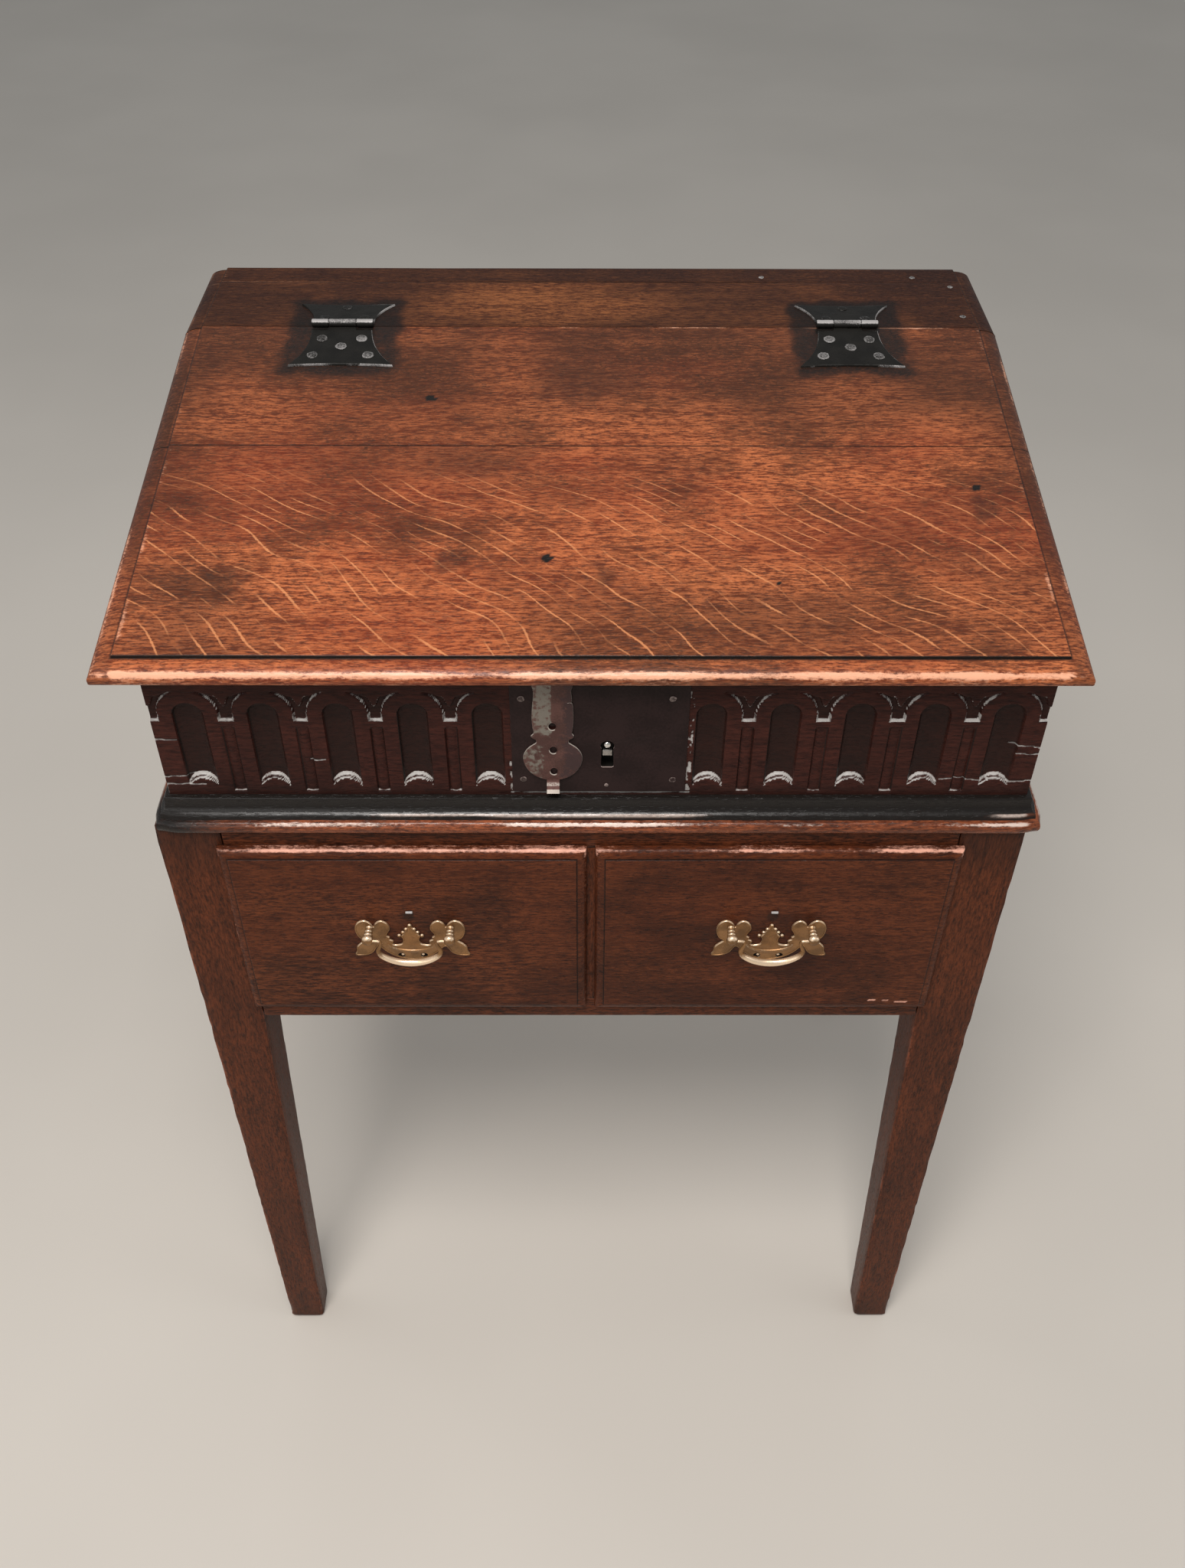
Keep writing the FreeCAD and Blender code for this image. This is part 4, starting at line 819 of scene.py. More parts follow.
def top_marks(x, down, inset, field):
    """Stain with painted shade, wear with painted highlights, fleck, and age for points of the lid
    and ledge, by their place on the slope. Inside the field's inset is the flat; outside it is the
    thumb moulding."""
    stain, age = spots(x, down), top_age_and_shade(x, down)
    for centre in hinge_centres():
        soot = halo(x, down, centre)
        age = np.maximum(age, 1.4 * soot)
        stain = np.maximum(stain, 0.72 * soot)
        # Painted shadow: the wood beside the middle knuckle, under the outer knuckles, made black.
        beside = np.abs(np.abs(x - centre) - 19.8 * MM) < 7.2 * MM
        stain = np.where(beside & (down > 0) & (down < 8 * MM), 1.4, stain)
    # Painted shade: a dark line in the crease where the field steps down to the moulding.
    stain = np.maximum(stain, 0.95 * bell(inset - field, 0.7 * MM))
    edge, flat = inset < field, inset >= field
    side = high("ledge_board").x
    # The thumb moulding's nose: worn, and given a painted highlight along its round.
    nose = bell(inset - 2.6 * MM, 2.4 * MM) * edge
    ends = (np.abs(x) > side - field) * edge
    wear = nose * np.where(ends, 0.3, 1.0) + nose * 0.7 * ripple(x * 22, down * 22, 9)
    aged = np.where(ends, 0.95 - 0.45 * ease(120 * MM, 340 * MM, down), 0.1)
    age = np.where(edge, aged + 0.4 * ripple(x * 15, down * 15, 15), age)
    arris = bell(side - np.abs(x) - field - 2 * MM, 2.2 * MM) * flat
    wear = np.maximum(wear, arris * (0.2 + 0.7 * ripple(x * 25, down * 25, 16)))
    strip = HINGE_Y - low("ledge_back_strip").y
    back = bell(down - strip, 1.2 * MM) * (1 - ease(-0.25, -0.2, x))
    wear = np.maximum(wear, back * 0.6)
    joint = bell(down, 1.1 * MM) * flat
    wear = np.maximum(wear, joint * (0.35 + 1.2 * ripple(x * 18, 0.5, 10)))
    fleck = flat * ease(15 * MM, 75 * MM, down - bpy.context.scene.bible_lid.rear_board)
    return dict(stain=stain, wear=wear, fleck=fleck, age=np.clip(age, 0, 1))


def graded(start, end, step, edge=2.0 * MM):
    """Shares from 0 to 1 over a run: one fine step inside each end, and even steps between."""
    run = end - start
    inner = np.linspace(edge / run, 1 - edge / run, max(int(run / step), 2))
    return np.concatenate([[0, edge * 0.3 / run], inner, [1 - edge * 0.3 / run, 1]])


def top_board(name, y0, y1, sides, on_slope, nodes, surface, body, seed):
    """A board of the top: thumb mouldings on its open sides, plain and dark where it meets the
    next, its field hollowed a little by smooth noise and its underside dark with age."""
    sizes = bpy.context.scene.bible_lid
    width = sizes.mould_width
    levels = thumb_levels(width, sizes.mould_edge, sizes.mould_crest, 2.0 * MM, BOARD)
    x0, x1 = low("ledge_board").x, high("ledge_board").x
    plan = rectangle(x0, x1, y0, y1, sides)
    columns, rows = graded(x0, x1, 3.2 * MM), graded(y0, y1, 3.2 * MM)
    points, quads, caps, inset = slab(plan, levels, columns, rows)
    down = HINGE_Y - points[:, 1]
    marks = top_marks(points[:, 0], down, inset, width)
    under = points[:, 2] < 0.01 * MM
    marks = {mark: np.where(under, 0, value) for mark, value in marks.items()}
    marks["age"] = np.where(under, 0.8, marks["age"])
    flat = inset >= width
    before = np.where(sides[2] == 0, points[:, 1] - y0, 1.0)
    behind = np.where(sides[3] == 0, y1 - points[:, 1], 1.0)
    seam = 1 - ease(0.0, 1.0 * MM, np.minimum(before, behind))
    marks["stain"] = np.where(under, 0, np.maximum(marks["stain"], seam * 0.75))
    points[:, 2] += flat * ripple(points[:, 0] * 7, points[:, 1] * 13, seed) * 0.35 * MM
    points[:, 2] -= (points[:, 2] > BOARD * 0.9) * seam * 0.35 * MM
    points[:, 2] += LEDGE_TOP - BOARD
    if on_slope:
        points = tipped(points)
        points[:, 1] = np.minimum(points[:, 1], HINGE_Y)
    shell = Shell().add(points, quads, caps, **marks)
    return put(name, shell, finish(surface), body, nodes, crease=50)


class BIBLEBOX_OT_lid(bpy.types.Operator):
    """Model the two boards of the sloping lid, the ledge behind it and the strip at the back"""
    bl_idname = "bible_box.lid"
    bl_label = "Lid and ledge boards"

    def execute(self, context):
        sizes = context.scene.bible_lid
        slope = sizes.slope
        rise = (BOARD - sizes.mould_edge) * math.sin(slope)
        reach = (HINGE_Y + rise - low("lid_front_board").y) / math.cos(slope)
        joint = HINGE_Y - sizes.rear_board
        gap = 0.2 * MM
        top_board("lid_front", HINGE_Y - reach, joint - gap, (1, 1, 1, 0), True,
                  ["lid_front_board", "lid_loose_tenons"], "lid", "lid", 11)
        top_board("lid_rear", joint + gap, HINGE_Y + BOARD * math.sin(slope), (1, 1, 0, 0), True,
                  ["lid_rear_board"], "lid", "lid", 12)
        seam = high("ledge_board").y
        top_board("ledge", low("ledge_board").y, seam, (1, 1, 0, 0), False,
                  ["ledge_board"], "ledge", BODY, 13)
        top_board("ledge_strip", seam, high("ledge_back_strip").y, (1, 1, 0, 0), False,
                  ["ledge_back_strip"], "ledge", BODY, 14)
        return {"FINISHED"}


# Carved front

# Heights above the floor of the darts' square feet and their tops, and of the cups' floors.
DART_FOOT, DART_TOP = 834.8 * MM, 902.0 * MM
CUP_FLOOR, CUP_DEPTH = 906.5 * MM, 2.9 * MM
# In millimetres: the height of the point of the tongue of ground that hangs into each cup, how far
# the cup's edge rises beside the tongue, and how much further it rises along its wings.
TONGUE_POINT, TONGUE_RISE, WING_RISE = 921.5, 9.5, 4.6
BAYS = 5
FRONT_TOP = 959.0 * MM


def flute_depth(u, z, sizes):
    """A round-headed hollow whose floor is an arc across, stopped at its foot by a rounded tongue
    that slopes up to the ground. Gives the depth and the height of the tongue's edge."""
    w = sizes.half_width
    head = np.maximum(z - sizes.spring, 0)
    far = np.hypot(u, head) / w
    wall = ease(0.0, 0.07, 1 - far)
    hollow = wall * (0.34 + 0.66 * np.sqrt(np.clip(1 - far ** 2, 0, 1))) * sizes.depth
    tongue = sizes.foot + 7.5 * MM * (1 - np.clip(np.abs(u) / w, 0, 1) ** 2.2)
    slope = np.clip((z - tongue) * 1.15, 0, None)
    return np.minimum(hollow, slope), tongue


def dart_depth(u, z, sizes):
    """A channel between two arches with a round bead along it, cut square at its foot."""
    share_out = np.abs(u) / sizes.dart
    bead = (0.9 + 1.7 * share_out ** 2) * MM
    wall = ease(0.0, 0.16, 1 - share_out)
    rising, falling = (z - DART_FOOT) * 1.3, (DART_TOP - z) * 0.5
    ends = np.minimum(np.clip(rising, 0, None), np.clip(falling, 0, None))
    return np.minimum(bead * wall, ends)


def cup_foot(s, sizes):
    """Height of a cup's lower edge at a distance from its middle: level between the dart's sides,
    and along the backs of the arches beyond them."""
    over = np.clip(sizes.arch ** 2 - (sizes.pitch / 2 - s) ** 2, 0, None)
    return np.where(s < sizes.dart, CUP_FLOOR, sizes.spring + np.sqrt(over))


def cup_top(s, wings):
    """Height of a cup's upper edge: up from the tongue's point, then out along the wings."""
    point = TONGUE_POINT + TONGUE_RISE * ease(0.0, 5.5, s / MM)
    return (point + wings * ease(5.5, 19.0, s / MM)) * MM


def cup_depth(s, z, sizes):
    """A cup sunk between two arches: its sides follow the arches' backs and sweep out over them
    as wings, a pointed tongue of ground hangs into its top, and it has a ledge at its foot."""
    cut = np.minimum((z - cup_foot(s, sizes)) * 1.25, (cup_top(s, WING_RISE) - z) * 1.4)
    cut = np.minimum(cut, CUP_DEPTH)
    return np.clip(cut, 0, None) * (1 - ease(19 * MM, 21 * MM, s))


def carving(x, z, sizes):
    """Depth of the arcade below the ground, and marks for the painted highlights on its up-facing
    ledges and for the painted shade that sits in its corners."""
    depth, ledge, dark = np.zeros(x.shape), np.zeros(x.shape), np.zeros(x.shape)
    for side in (-1, 1):
        for bay in range(BAYS):
            centre = BOX_MIDDLE + side * (sizes.first + bay * sizes.pitch)
            u = x - centre
            inside = np.abs(u) < sizes.half_width
            cut, tongue = flute_depth(u, z, sizes)
            cut = np.where(inside, cut, 0)
            rise = (z - tongue) / MM
            # Painted highlight on the up-facing slope at each flute's foot.
            crescent = 1 - 0.75 * ease(0.7, 1.5, rise) * (1 - ease(1.9, 2.7, rise))
            crescent = inside * (cut > 0.1 * MM) * (1 - ease(3.9, 4.9, rise)) * crescent
            far = np.hypot(u, np.maximum(z - sizes.spring, 0))
            # Painted shade inside each flute's wall, strongest on its left and round its head.
            wall = bell(far - 0.97 * sizes.half_width, 0.9 * MM) * (z > tongue + 2 * MM) * inside
            dark = np.maximum(dark, wall * np.where(u < 4 * MM, 0.95, 0.5))
            v = x - (centre + side * sizes.pitch / 2)
            s = np.abs(v)
            cup = cup_depth(s, z, sizes)
            low_side = 1 - ease(1.5 * MM, 2.7 * MM, z - cup_foot(s, sizes))
            low_side = low_side * (1 - 0.7 * ease(9 * MM, 19 * MM, s))
            within = (z > CUP_FLOOR) * (z < CUP_FLOOR + 7.5 * MM)
            foot_side = (np.abs(s - sizes.dart) < 1.0 * MM) * within
            hint = (1 - ease(0.5 * MM, 1.3 * MM, np.abs(z - cup_top(s, 0)))) * (s < 6 * MM)
            depth = np.maximum(depth, np.maximum(cut, cup))
            # Painted highlights on the cups' low sides, beside the darts and along the tongues'
            # edges.
            lit = 0.9 * ease(0.05 * MM, 0.5 * MM, cup) * low_side
            for pale in (crescent, lit, 0.7 * foot_side, 0.55 * hint):
                ledge = np.maximum(ledge, pale)
            if bay < BAYS - 1:
                groove = np.where(s < sizes.dart, dart_depth(v, z, sizes), 0)
                depth = np.maximum(depth, groove)
                # Painted highlight on each dart's square foot.
                stop = (groove > 0.3 * MM) * (1 - ease(1.6 * MM, 2.4 * MM, z - DART_FOOT))
                ledge = np.maximum(ledge, 0.7 * stop)
                # Painted shade along each dart's walls.
                dark = np.maximum(dark, 0.8 * bell(s - 0.93 * sizes.dart, 0.7 * MM) * (groove > 0))
    return depth, ledge, dark


class BIBLEBOX_OT_carved_front(bpy.types.Operator):
    """Model the front board with its carved arcade of flutes, darts and cups"""
    bl_idname = "bible_box.carved_front"
    bl_label = "Carved front"

    def execute(self, context):
        sizes = context.scene.bible_carving
        lowest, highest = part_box("carved_front_board")
        plate_low, plate_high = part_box("lock_plate")
        pin = middle("lock_drill_pin")
        step = sizes.step
        inner = 3 * MM
        x = np.concatenate([
            np.arange(lowest.x, plate_low.x + inner, step),
            np.linspace(plate_low.x + 2 * inner, pin.x - 7 * MM, 7),
            np.linspace(pin.x - 6 * MM, pin.x + 6 * MM, 25),
            np.linspace(pin.x + 7 * MM, plate_high.x - 2 * inner, 5),
            np.arange(plate_high.x - inner, highest.x, step), [highest.x],
        ])
        z = np.concatenate([
            np.linspace(lowest.z, 829 * MM, 6), np.arange(832 * MM, 941 * MM, step),
            np.linspace(943 * MM, FRONT_TOP, 6),
        ])
        gx, gz = np.meshgrid(x, z)
        depth, ledge, dark = carving(gx, gz, sizes)
        chisel = ripple(gx * 300, gz * 120, 21) * 0.22 * MM * ease(0.5 * MM, 2 * MM, depth)
        ground = ripple(gx * 25, gz * 60, 22) * 0.22 * MM
        chips = splinters(gx, gz, plate_low, plate_high)
        # The well behind the keyhole, painted black as shade.
        well = (np.abs(gx - pin.x) < 5.6 * MM) * (np.abs(gz - pin.z + 11 * MM) < 17.5 * MM)
        y = BOX_FRONT + depth + chisel + np.maximum(ground, -0.05 * MM) + chips * 1.1 * MM
        y = np.where(well, BOX_FRONT + 15 * MM, y)
        rim = border(*gx.shape)
        face = np.stack([gx, y, gz], -1).reshape(-1, 3)
        back = face[rim].copy()
        back[:, 1] = highest.y
        slope = math.tan(context.scene.bible_lid.slope)
        top = back[:, 2] > FRONT_TOP - 1 * MM
        back[:, 2] += top * (highest.y - BOX_FRONT) * slope
        points = np.concatenate([face, back])
        ends = np.minimum(gx - lowest.x, highest.x - gx)
        # Wear: painted highlights on the carving's ledges, and pale broken and frayed wood.
        wear = np.maximum(ledge * (0.9 + 0.5 * ripple(gx * 120, gz * 160, 23)), chips)
        frayed = 0.5 * (1 - ease(0, 1.5 * MM, ends)) * (0.5 + ripple(gx * 9, gz * 80, 24))
        wear = np.maximum(wear, frayed)
        # Painted shade in the carving's hollows; the board is also darker along its foot.
        hollow = ease(0.8 * MM, 3.6 * MM, depth) * 0.56
        hollow = np.maximum(hollow, 0.42 * (1 - ease(836 * MM, 849 * MM, gz)))
        marks = {
            "wear": np.concatenate([wear.ravel(), np.zeros(len(rim))]),
            "stain": np.concatenate([
                np.maximum(np.maximum(hollow, dark) * (ledge < 0.2), 1.5 * well).ravel(),
                np.zeros(len(rim))]),
        }
        quads = np.concatenate([net(*gx.shape), skirt(rim, len(face))])
        shell = Shell().add(points, quads, [len(face) + np.arange(len(rim))], **marks)
        put("carved_front", shell, finish("front"), BODY, ["carved_front_board"], crease=55)
        return {"FINISHED"}


CRACKS = [
    # from, to and height of each crack in millimetres, and its seed
    (270, 318, 848.5, 1), (322, 343, 846.5, 2), (-331, -314, 888.0, 3), (-331, -296, 851.0, 4),
    (-331, -300, 842.0, 5), (-216, -204, 868.0, 6), (318, 343, 882.0, 7), (325, 343, 874.0, 8),
]


def splinters(x, z, plate_low, plate_high):
    """Pale broken wood close round the lock plate, a painted highlight along a thin line under it,
    and thin cracks along the grain.
    """
    right = np.abs(x - (plate_high.x + 2.2 * MM)) < 2.3 * MM
    tall = (z > plate_low.z) & (z < plate_high.z - 8 * MM)
    broken = ease(0.02, 0.2, ripple(x * 420, z * 190, 31))
    edge = broken * right * tall * 0.8
    left = np.abs(x - (plate_low.x - 1.2 * MM)) < 1.2 * MM
    left = left & (z < plate_low.z + 30 * MM) & (z > plate_low.z)
    edge = np.maximum(edge, broken * left * 0.7)
    # Painted highlight: a thin pale line just below the plate.
    under = np.abs(z - plate_low.z + (2.0 + 0.7 * ripple(x * 60, 0.5, 33)) * MM) < 0.8 * MM
    across = (x > plate_low.x - 2 * MM) & (x < plate_high.x + 4 * MM)
    edge = np.maximum(edge, 0.8 * under * across * ease(-0.42, -0.3, ripple(x * 45, 0.5, 34)))
    cracks = np.zeros(x.shape)
    for x0, x1, height, seed in CRACKS:
        line = height * MM + ripple(x * 70, seed, seed) * 2.2 * MM
        near = 1 - ease(0.3 * MM, 0.95 * MM, np.abs(z - line))
        cracks = np.maximum(cracks, near * (x > x0 * MM) * (x < x1 * MM) * 0.8)
    return np.maximum(edge, cracks)


# Moulding round the foot of the box

# How far out the worn corners reach, as a share of the moulding's full reach.
CORNER_REACH = 0.8


def moulding_outline():
    """Nose, fillet and cove as (out, up) points from the box's foot: half an ellipse for the nose,
    a level fillet with a worn arris behind it, and a quarter of an ellipse for the cove."""
    nose = np.linspace(-math.pi / 2, math.pi / 2, 15)
    cove = np.linspace(0.12, math.pi / 2, 9)
    outline = [(0, 0), (11.0, 0)]
    outline += [(11.8 + 4.1 * math.cos(t), 5.9 + 5.9 * math.sin(t)) for t in nose]
    outline += [(11.0, 11.9), (10.7, 12.6), (10.4, 15.4), (9.9, 16.3), (9.0, 16.7)]
    outline += [(9.0 - 4.2 * math.sin(t), 27.6 - 10.6 * math.cos(t)) for t in cove]
    outline += [(4.8, 28.9), (4.2, 29.8), (3.4, 30.0), (0, 30.0)]
    outline += [(0, 20.0), (0, 10.0)]
    return np.array(outline) * MM


class BIBLEBOX_OT_moulding(bpy.types.Operator):
    """Model the three mitred lengths of moulding round the foot of the box"""
    bl_idname = "bible_box.moulding"
    bl_label = "Base moulding"

    def execute(self, context):
        outline = moulding_outline()
        out, up = outline[:, 0], outline[:, 1]
        back = high("base_moulding_left").y
        for name, steps, surface in (
            ("front", 180, "moulding"), ("left", 90, "moulding_side"),
            ("right", 90, "moulding_side"),
        ):
            t = np.linspace(0, 1, steps)[:, None]
            if name == "front":
                start = BOX_LEFT - out * CORNER_REACH
                end = BOX_RIGHT + out * CORNER_REACH
                run = start + (end - start) * t
                near = np.minimum(run - start, end - run)
                points = [run, BOX_FRONT - out + 0 * t, STAND_TOP + up + 0 * t]
            else:
                side, edge = (-1, BOX_LEFT) if name == "left" else (1, BOX_RIGHT)
                start = BOX_FRONT - out * CORNER_REACH
                run = start + (back - start) * t
                near = run - start
                points = [edge + side * out + 0 * t, run, STAND_TOP + up + 0 * t]
            round_off = (1 - CORNER_REACH) * bell(near, 9 * MM)
            # Painted highlight along the top of the nose, with some wear.
            nose = bell(up - 10.4 * MM, 1.5 * MM) * ease(11 * MM, 13 * MM, out)
            # Painted glints along the arris behind the fillet; the black stain is eased under
            # them.
            top = ease(14.2 * MM, 15.8 * MM, up) * (1 - ease(16.6 * MM, 17.6 * MM, up))
            top = top * (out > 5 * MM)
            rub = ripple(run * 9, up[None, :] * 40, 41)
            glint = top * ease(-0.1, 0.22, rub)
            wear = (nose * (0.5 + rub * 1.2) + glint) * ease(1 * MM, 12 * MM, near)
            stain = ease(11.9 * MM, 12.6 * MM, up) * (0.98 - 0.5 * glint ** 2)
            sooty = np.where(points[0] < BOX_MIDDLE, 0.9, 0.3)
            stain = np.maximum(stain, sooty * (1 - ease(10 * MM, 70 * MM, near)))
            dent = np.abs(ripple(run * 60, up[None, :] * 120, 42)) * 0.9 * MM * (nose + top)
            pull = 1 - dent / (16 * MM) * (near > 12 * MM) - round_off
            if name == "front":
                points[1] = BOX_FRONT - out * pull
            else:
                points[0] = edge + side * out * pull
            shell = Shell().tube(np.stack(points, -1), wear=wear, stain=0 * run + stain)
            put("base_moulding_" + name + "_worn", shell, finish(surface), BODY,
                ["base_moulding_" + name], crease=35)
        return {"FINISHED"}


# Box and stand timber

class BIBLEBOX_OT_box_boards(bpy.types.Operator):
    """Model the sides of the box with eased arrises, and finish its back and bottom boards"""
    bl_idname = "bible_box.box_boards"
    bl_label = "Box boards"

    def execute(self, context):
        slope = math.tan(context.scene.bible_lid.slope)
        for name in ("left", "right"):
            node = "box_side_" + name
            lo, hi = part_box(node)
            shoulder = HINGE_Y + 0.5 * MM
            rear_rise = hi.z - 0.1 * MM
            lid_rise = LEDGE_TOP - BOARD / math.cos(context.scene.bible_lid.slope) - 0.3 * MM
            corners = [
                (lo.y, lo.z), (hi.y, lo.z), (hi.y, rear_rise), (shoulder, rear_rise),
                (shoulder - 1 * MM, lid_rise), (lo.y, lid_rise - (HINGE_Y - lo.y) * slope),
            ]
            shell = bar(Shell(), corners, along_x, lo.x, hi.x, 0.9 * MM, cuts=2, seed=51)
            put("box_end_" + name, shell, finish("box_side"), BODY, [node])
        paint_nodes("box_back", "box_back_board")
        paint_nodes("inside_wide", "box_bottom_board")
        return {"FINISHED"}


def leg_shell(side, front):
    """A leg: a square with eased corners (a superellipse) at every height, full size above the
    frieze line and drawn in along its two inner faces below it, with worn and bitten arrises and
    a foot that is rounded under."""
    name = ("leg_front_" if front else "leg_back_") + ("left" if side < 0 else "right")
    lo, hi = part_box(name)
    outer = lo.x if side < 0 else hi.x
    face, deep = (lo.y, 1) if front else (hi.y, -1)
    frieze = low("bottom_front_rail").z
    z = np.concatenate([
        [0, 0.5, 1.5, 2.8, 4.0], np.linspace(7, frieze / MM, 64), [frieze / MM + 1],
        np.linspace(frieze / MM + 20, hi.z / MM, 16),
    ])[:, None] * MM
    taper = np.clip(z / frieze, 0, 1)
    wide, thick = (37.0 + 16.0 * taper) * MM, (34.0 + 19.0 * taper) * MM
    under = 4 * MM * np.clip(1 - z / (4 * MM), 0, 1) ** 1.8
    sharp = 18.0
    angle = np.linspace(0, 2 * math.pi, 56, endpoint=False)
    unit = np.stack([np.cos(angle), np.sin(angle)], -1)
    squared = unit / (np.abs(unit) ** sharp).sum(1, keepdims=True) ** (1 / sharp)
    corner_near = ease(0.72, 0.99, np.abs(squared).min(1) / np.abs(squared).max(1))
    a, b = (squared[:, 0] + 1) / 2, (squared[:, 1] + 1) / 2
    seed = 60 + (side > 0) + 2 * front
    wave = ripple(z * 14, angle * 0.9, seed) * 0.5 * MM
    bite = np.abs(ripple(z * 55, angle * 2.1, seed + 9)) * corner_near * 1.3 * MM
    bite *= 1 + 2.2 * (1 - ease(0, 60 * MM, z))
    inward = under + bite + (wide - 2 * under - 2 * bite) * a + wave * 0.3
    back = under + bite + (thick - 2 * under - 2 * bite) * b
    x = outer - side * np.clip(inward, 0, None)
    y = face + deep * np.clip(back, 0, None)
    wear = corner_near * (0.26 + 1.1 * ripple(z * 30, angle, seed + 3))
    wear += 0.35 * (1 - ease(0, 12 * MM, z))
    # Darker towards the foot; and painted shade at the top of the leg, under the moulding.
    stain = 0.35 * (1 - ease(0, 90 * MM, z)) + 0 * wear
    stain += 0.45 * ease(hi.z - 90 * MM, hi.z - 5 * MM, z)
    points = np.stack([x, y, np.broadcast_to(z, x.shape)], -1)
    return name, Shell().tube(points, wear=wear, stain=stain)


class BIBLEBOX_OT_legs(bpy.types.Operator):
    """Model the four tapered legs with worn arrises and rounded feet"""
    bl_idname = "bible_box.legs"
    bl_label = "Legs"

    def execute(self, context):
        for side in (-1, 1):
            for front in (True, False):
                name, shell = leg_shell(side, front)
                put("worn_" + name, shell, finish("post"), BODY, [name])
        return {"FINISHED"}


def box_corners(lo, hi, across):
    """The four corners of a box across two of its axes."""
    first, second = across
    return four_corners(getattr(lo, first), getattr(hi, first),
                        getattr(lo, second), getattr(hi, second))


class BIBLEBOX_OT_rails(bpy.types.Operator):
    """Model the rails, muntin and aprons that show between the legs"""
    bl_idname = "bible_box.rails"
    bl_label = "Rails and aprons"

    def execute(self, context):
        wide = high("leg_front_left").x, low("leg_front_right").x
        deep = high("leg_front_left").y, low("leg_back_left").y
        tall = low("drawer_muntin").z, high("drawer_muntin").z
        for name, plane, place, span, radius, cuts, surface, seed in (
            ("top_front_rail", "yz", along_x, wide, 1.3, 90, "rail", 70),
            ("bottom_front_rail", "yz", along_x, wide, 1.3, 90, "rail", 71),
            ("drawer_muntin", "xy", along_z, tall, 1.2, 40, "post", 72),
            ("apron_left", "xz", along_y, deep, 1.6, 60, "apron", 73),
            ("apron_right", "xz", along_y, deep, 1.6, 60, "apron", 74),
            ("apron_back", "yz", along_x, wide, 1.6, 60, "rail", 76),
        ):
            corners = box_corners(*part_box(name), plane)
            shell = bar(Shell(), corners, place, *span, radius * MM, cuts, seed)
            put(name + "_worn", shell, finish(surface), BODY, [name])
        paint_nodes("inside", "drawer_runner_left", "drawer_runner_right", "drawer_runner_centre",
                    "drawer_kicker")
        return {"FINISHED"}


# Drawers

class BIBLEBOX_OT_drawers(bpy.types.Operator):
    """Model the lipped drawer fronts and finish the dry oak boards behind them"""
    bl_idname = "bible_box.drawers"
    bl_label = "Drawers"

    def execute(self, context):
        mould = 8.0 * MM
        for number, name in enumerate(("left", "right")):
            drawer = "drawer_" + name
            lo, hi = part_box(drawer + "_front")
            field = low("handle_" + name + "_plate").y + PLATE_THICKNESS
            seat = field + 10.0 * MM
            levels = thumb_levels(mould, 3.0 * MM, 8.6 * MM, 0.6 * MM, seat - lo.y, 8)
            plan = rectangle(lo.x, hi.x, lo.z, hi.z)
            points, quads, caps, inset = slab(
                plan, levels, graded(lo.x, hi.x, 2.5 * MM), graded(lo.z, hi.z, 2.5 * MM))
            x, z, rise = points[:, 0], points[:, 1].copy(), points[:, 2].copy()
            rise += (inset > mould) * ripple(x * 11, z * 16, 80 + number) * 0.3 * MM
            face = np.stack([x, seat - np.maximum(rise, 0), z], -1)
            # The lip's nose is worn and painted with a highlight, strongest along the top lip.
            nose = bell(inset - 1.0 * MM, 1.2 * MM) * (inset < 7.5 * MM)
            top = (0.3 + 0.7 * ease(hi.z - 9 * MM, hi.z - 6 * MM, z)) * (rise > 0.01 * MM)
            wear = nose * top * (0.95 - 0.3 * number + 1.2 * ripple(x * 16, z * 16, 82 + number))
            wear = np.maximum(wear, scratches(x, z) if name == "right" else 0.0)
            # Painted shadow: a dark line in the groove where the lip meets the field.
            groove = bell(inset - mould, 0.5 * MM)
            stain = np.maximum(groove * 0.75, handle_dirt_and_shade(x, z, name))
            shell = Shell().add(face, quads, caps, wear=wear, stain=stain)
            boards = [drawer + "_outer_side", drawer + "_inner_side"]
            sides = [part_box(board) for board in boards]
            inner = 0.15 * MM
            left = min(s[0].x for s in sides) + inner
            right = max(s[1].x for s in sides) - inner
            floor, top_edge = sides[0][0].z + inner, sides[0][1].z - inner
            corners = four_corners(left, right, floor, top_edge)
            bar(shell, corners, along_y, seat - 1 * MM, hi.y, 0.4 * MM, 1, 84)
            put(drawer + "_front_worn", shell, finish("drawer"), drawer, [drawer + "_front"])
            paint_nodes("inside", *boards, drawer + "_bottom")
            paint_nodes("inside_wide", drawer + "_back")
        return {"FINISHED"}


def handle_dirt_and_shade(x, z, name):
    """Old polish and dirt round a handle's plate, a painted shadow under the old pin above its
    crest, and painted shade in its two small holes."""
    centre, posts = middle("handle_" + name + "_plate"), middle("handle_" + name + "_posts")
    far = np.hypot((x - centre.x) / (62 * MM), (z - centre.z - 2 * MM) / (34 * MM))
    around = 0.36 * (1 - ease(0.7, 1.3, far + ripple(x * 60, z * 60, 85) * 0.4))
    # Painted shadow under the old pin, and painted shade in the two small holes.
    spot = np.hypot(x - centre.x, z - posts.z - 13.5 * MM)
    holes = np.hypot(np.abs(x - posts.x) - HOLE_OUT, z - posts.z + HOLE_DOWN)
    spot, holes = 1 - ease(3.5 * MM, 9 * MM, spot), 1 - ease(3 * MM, 4 * MM, holes)
    return np.maximum(around, np.maximum(0.62 * spot, 1.4 * holes))


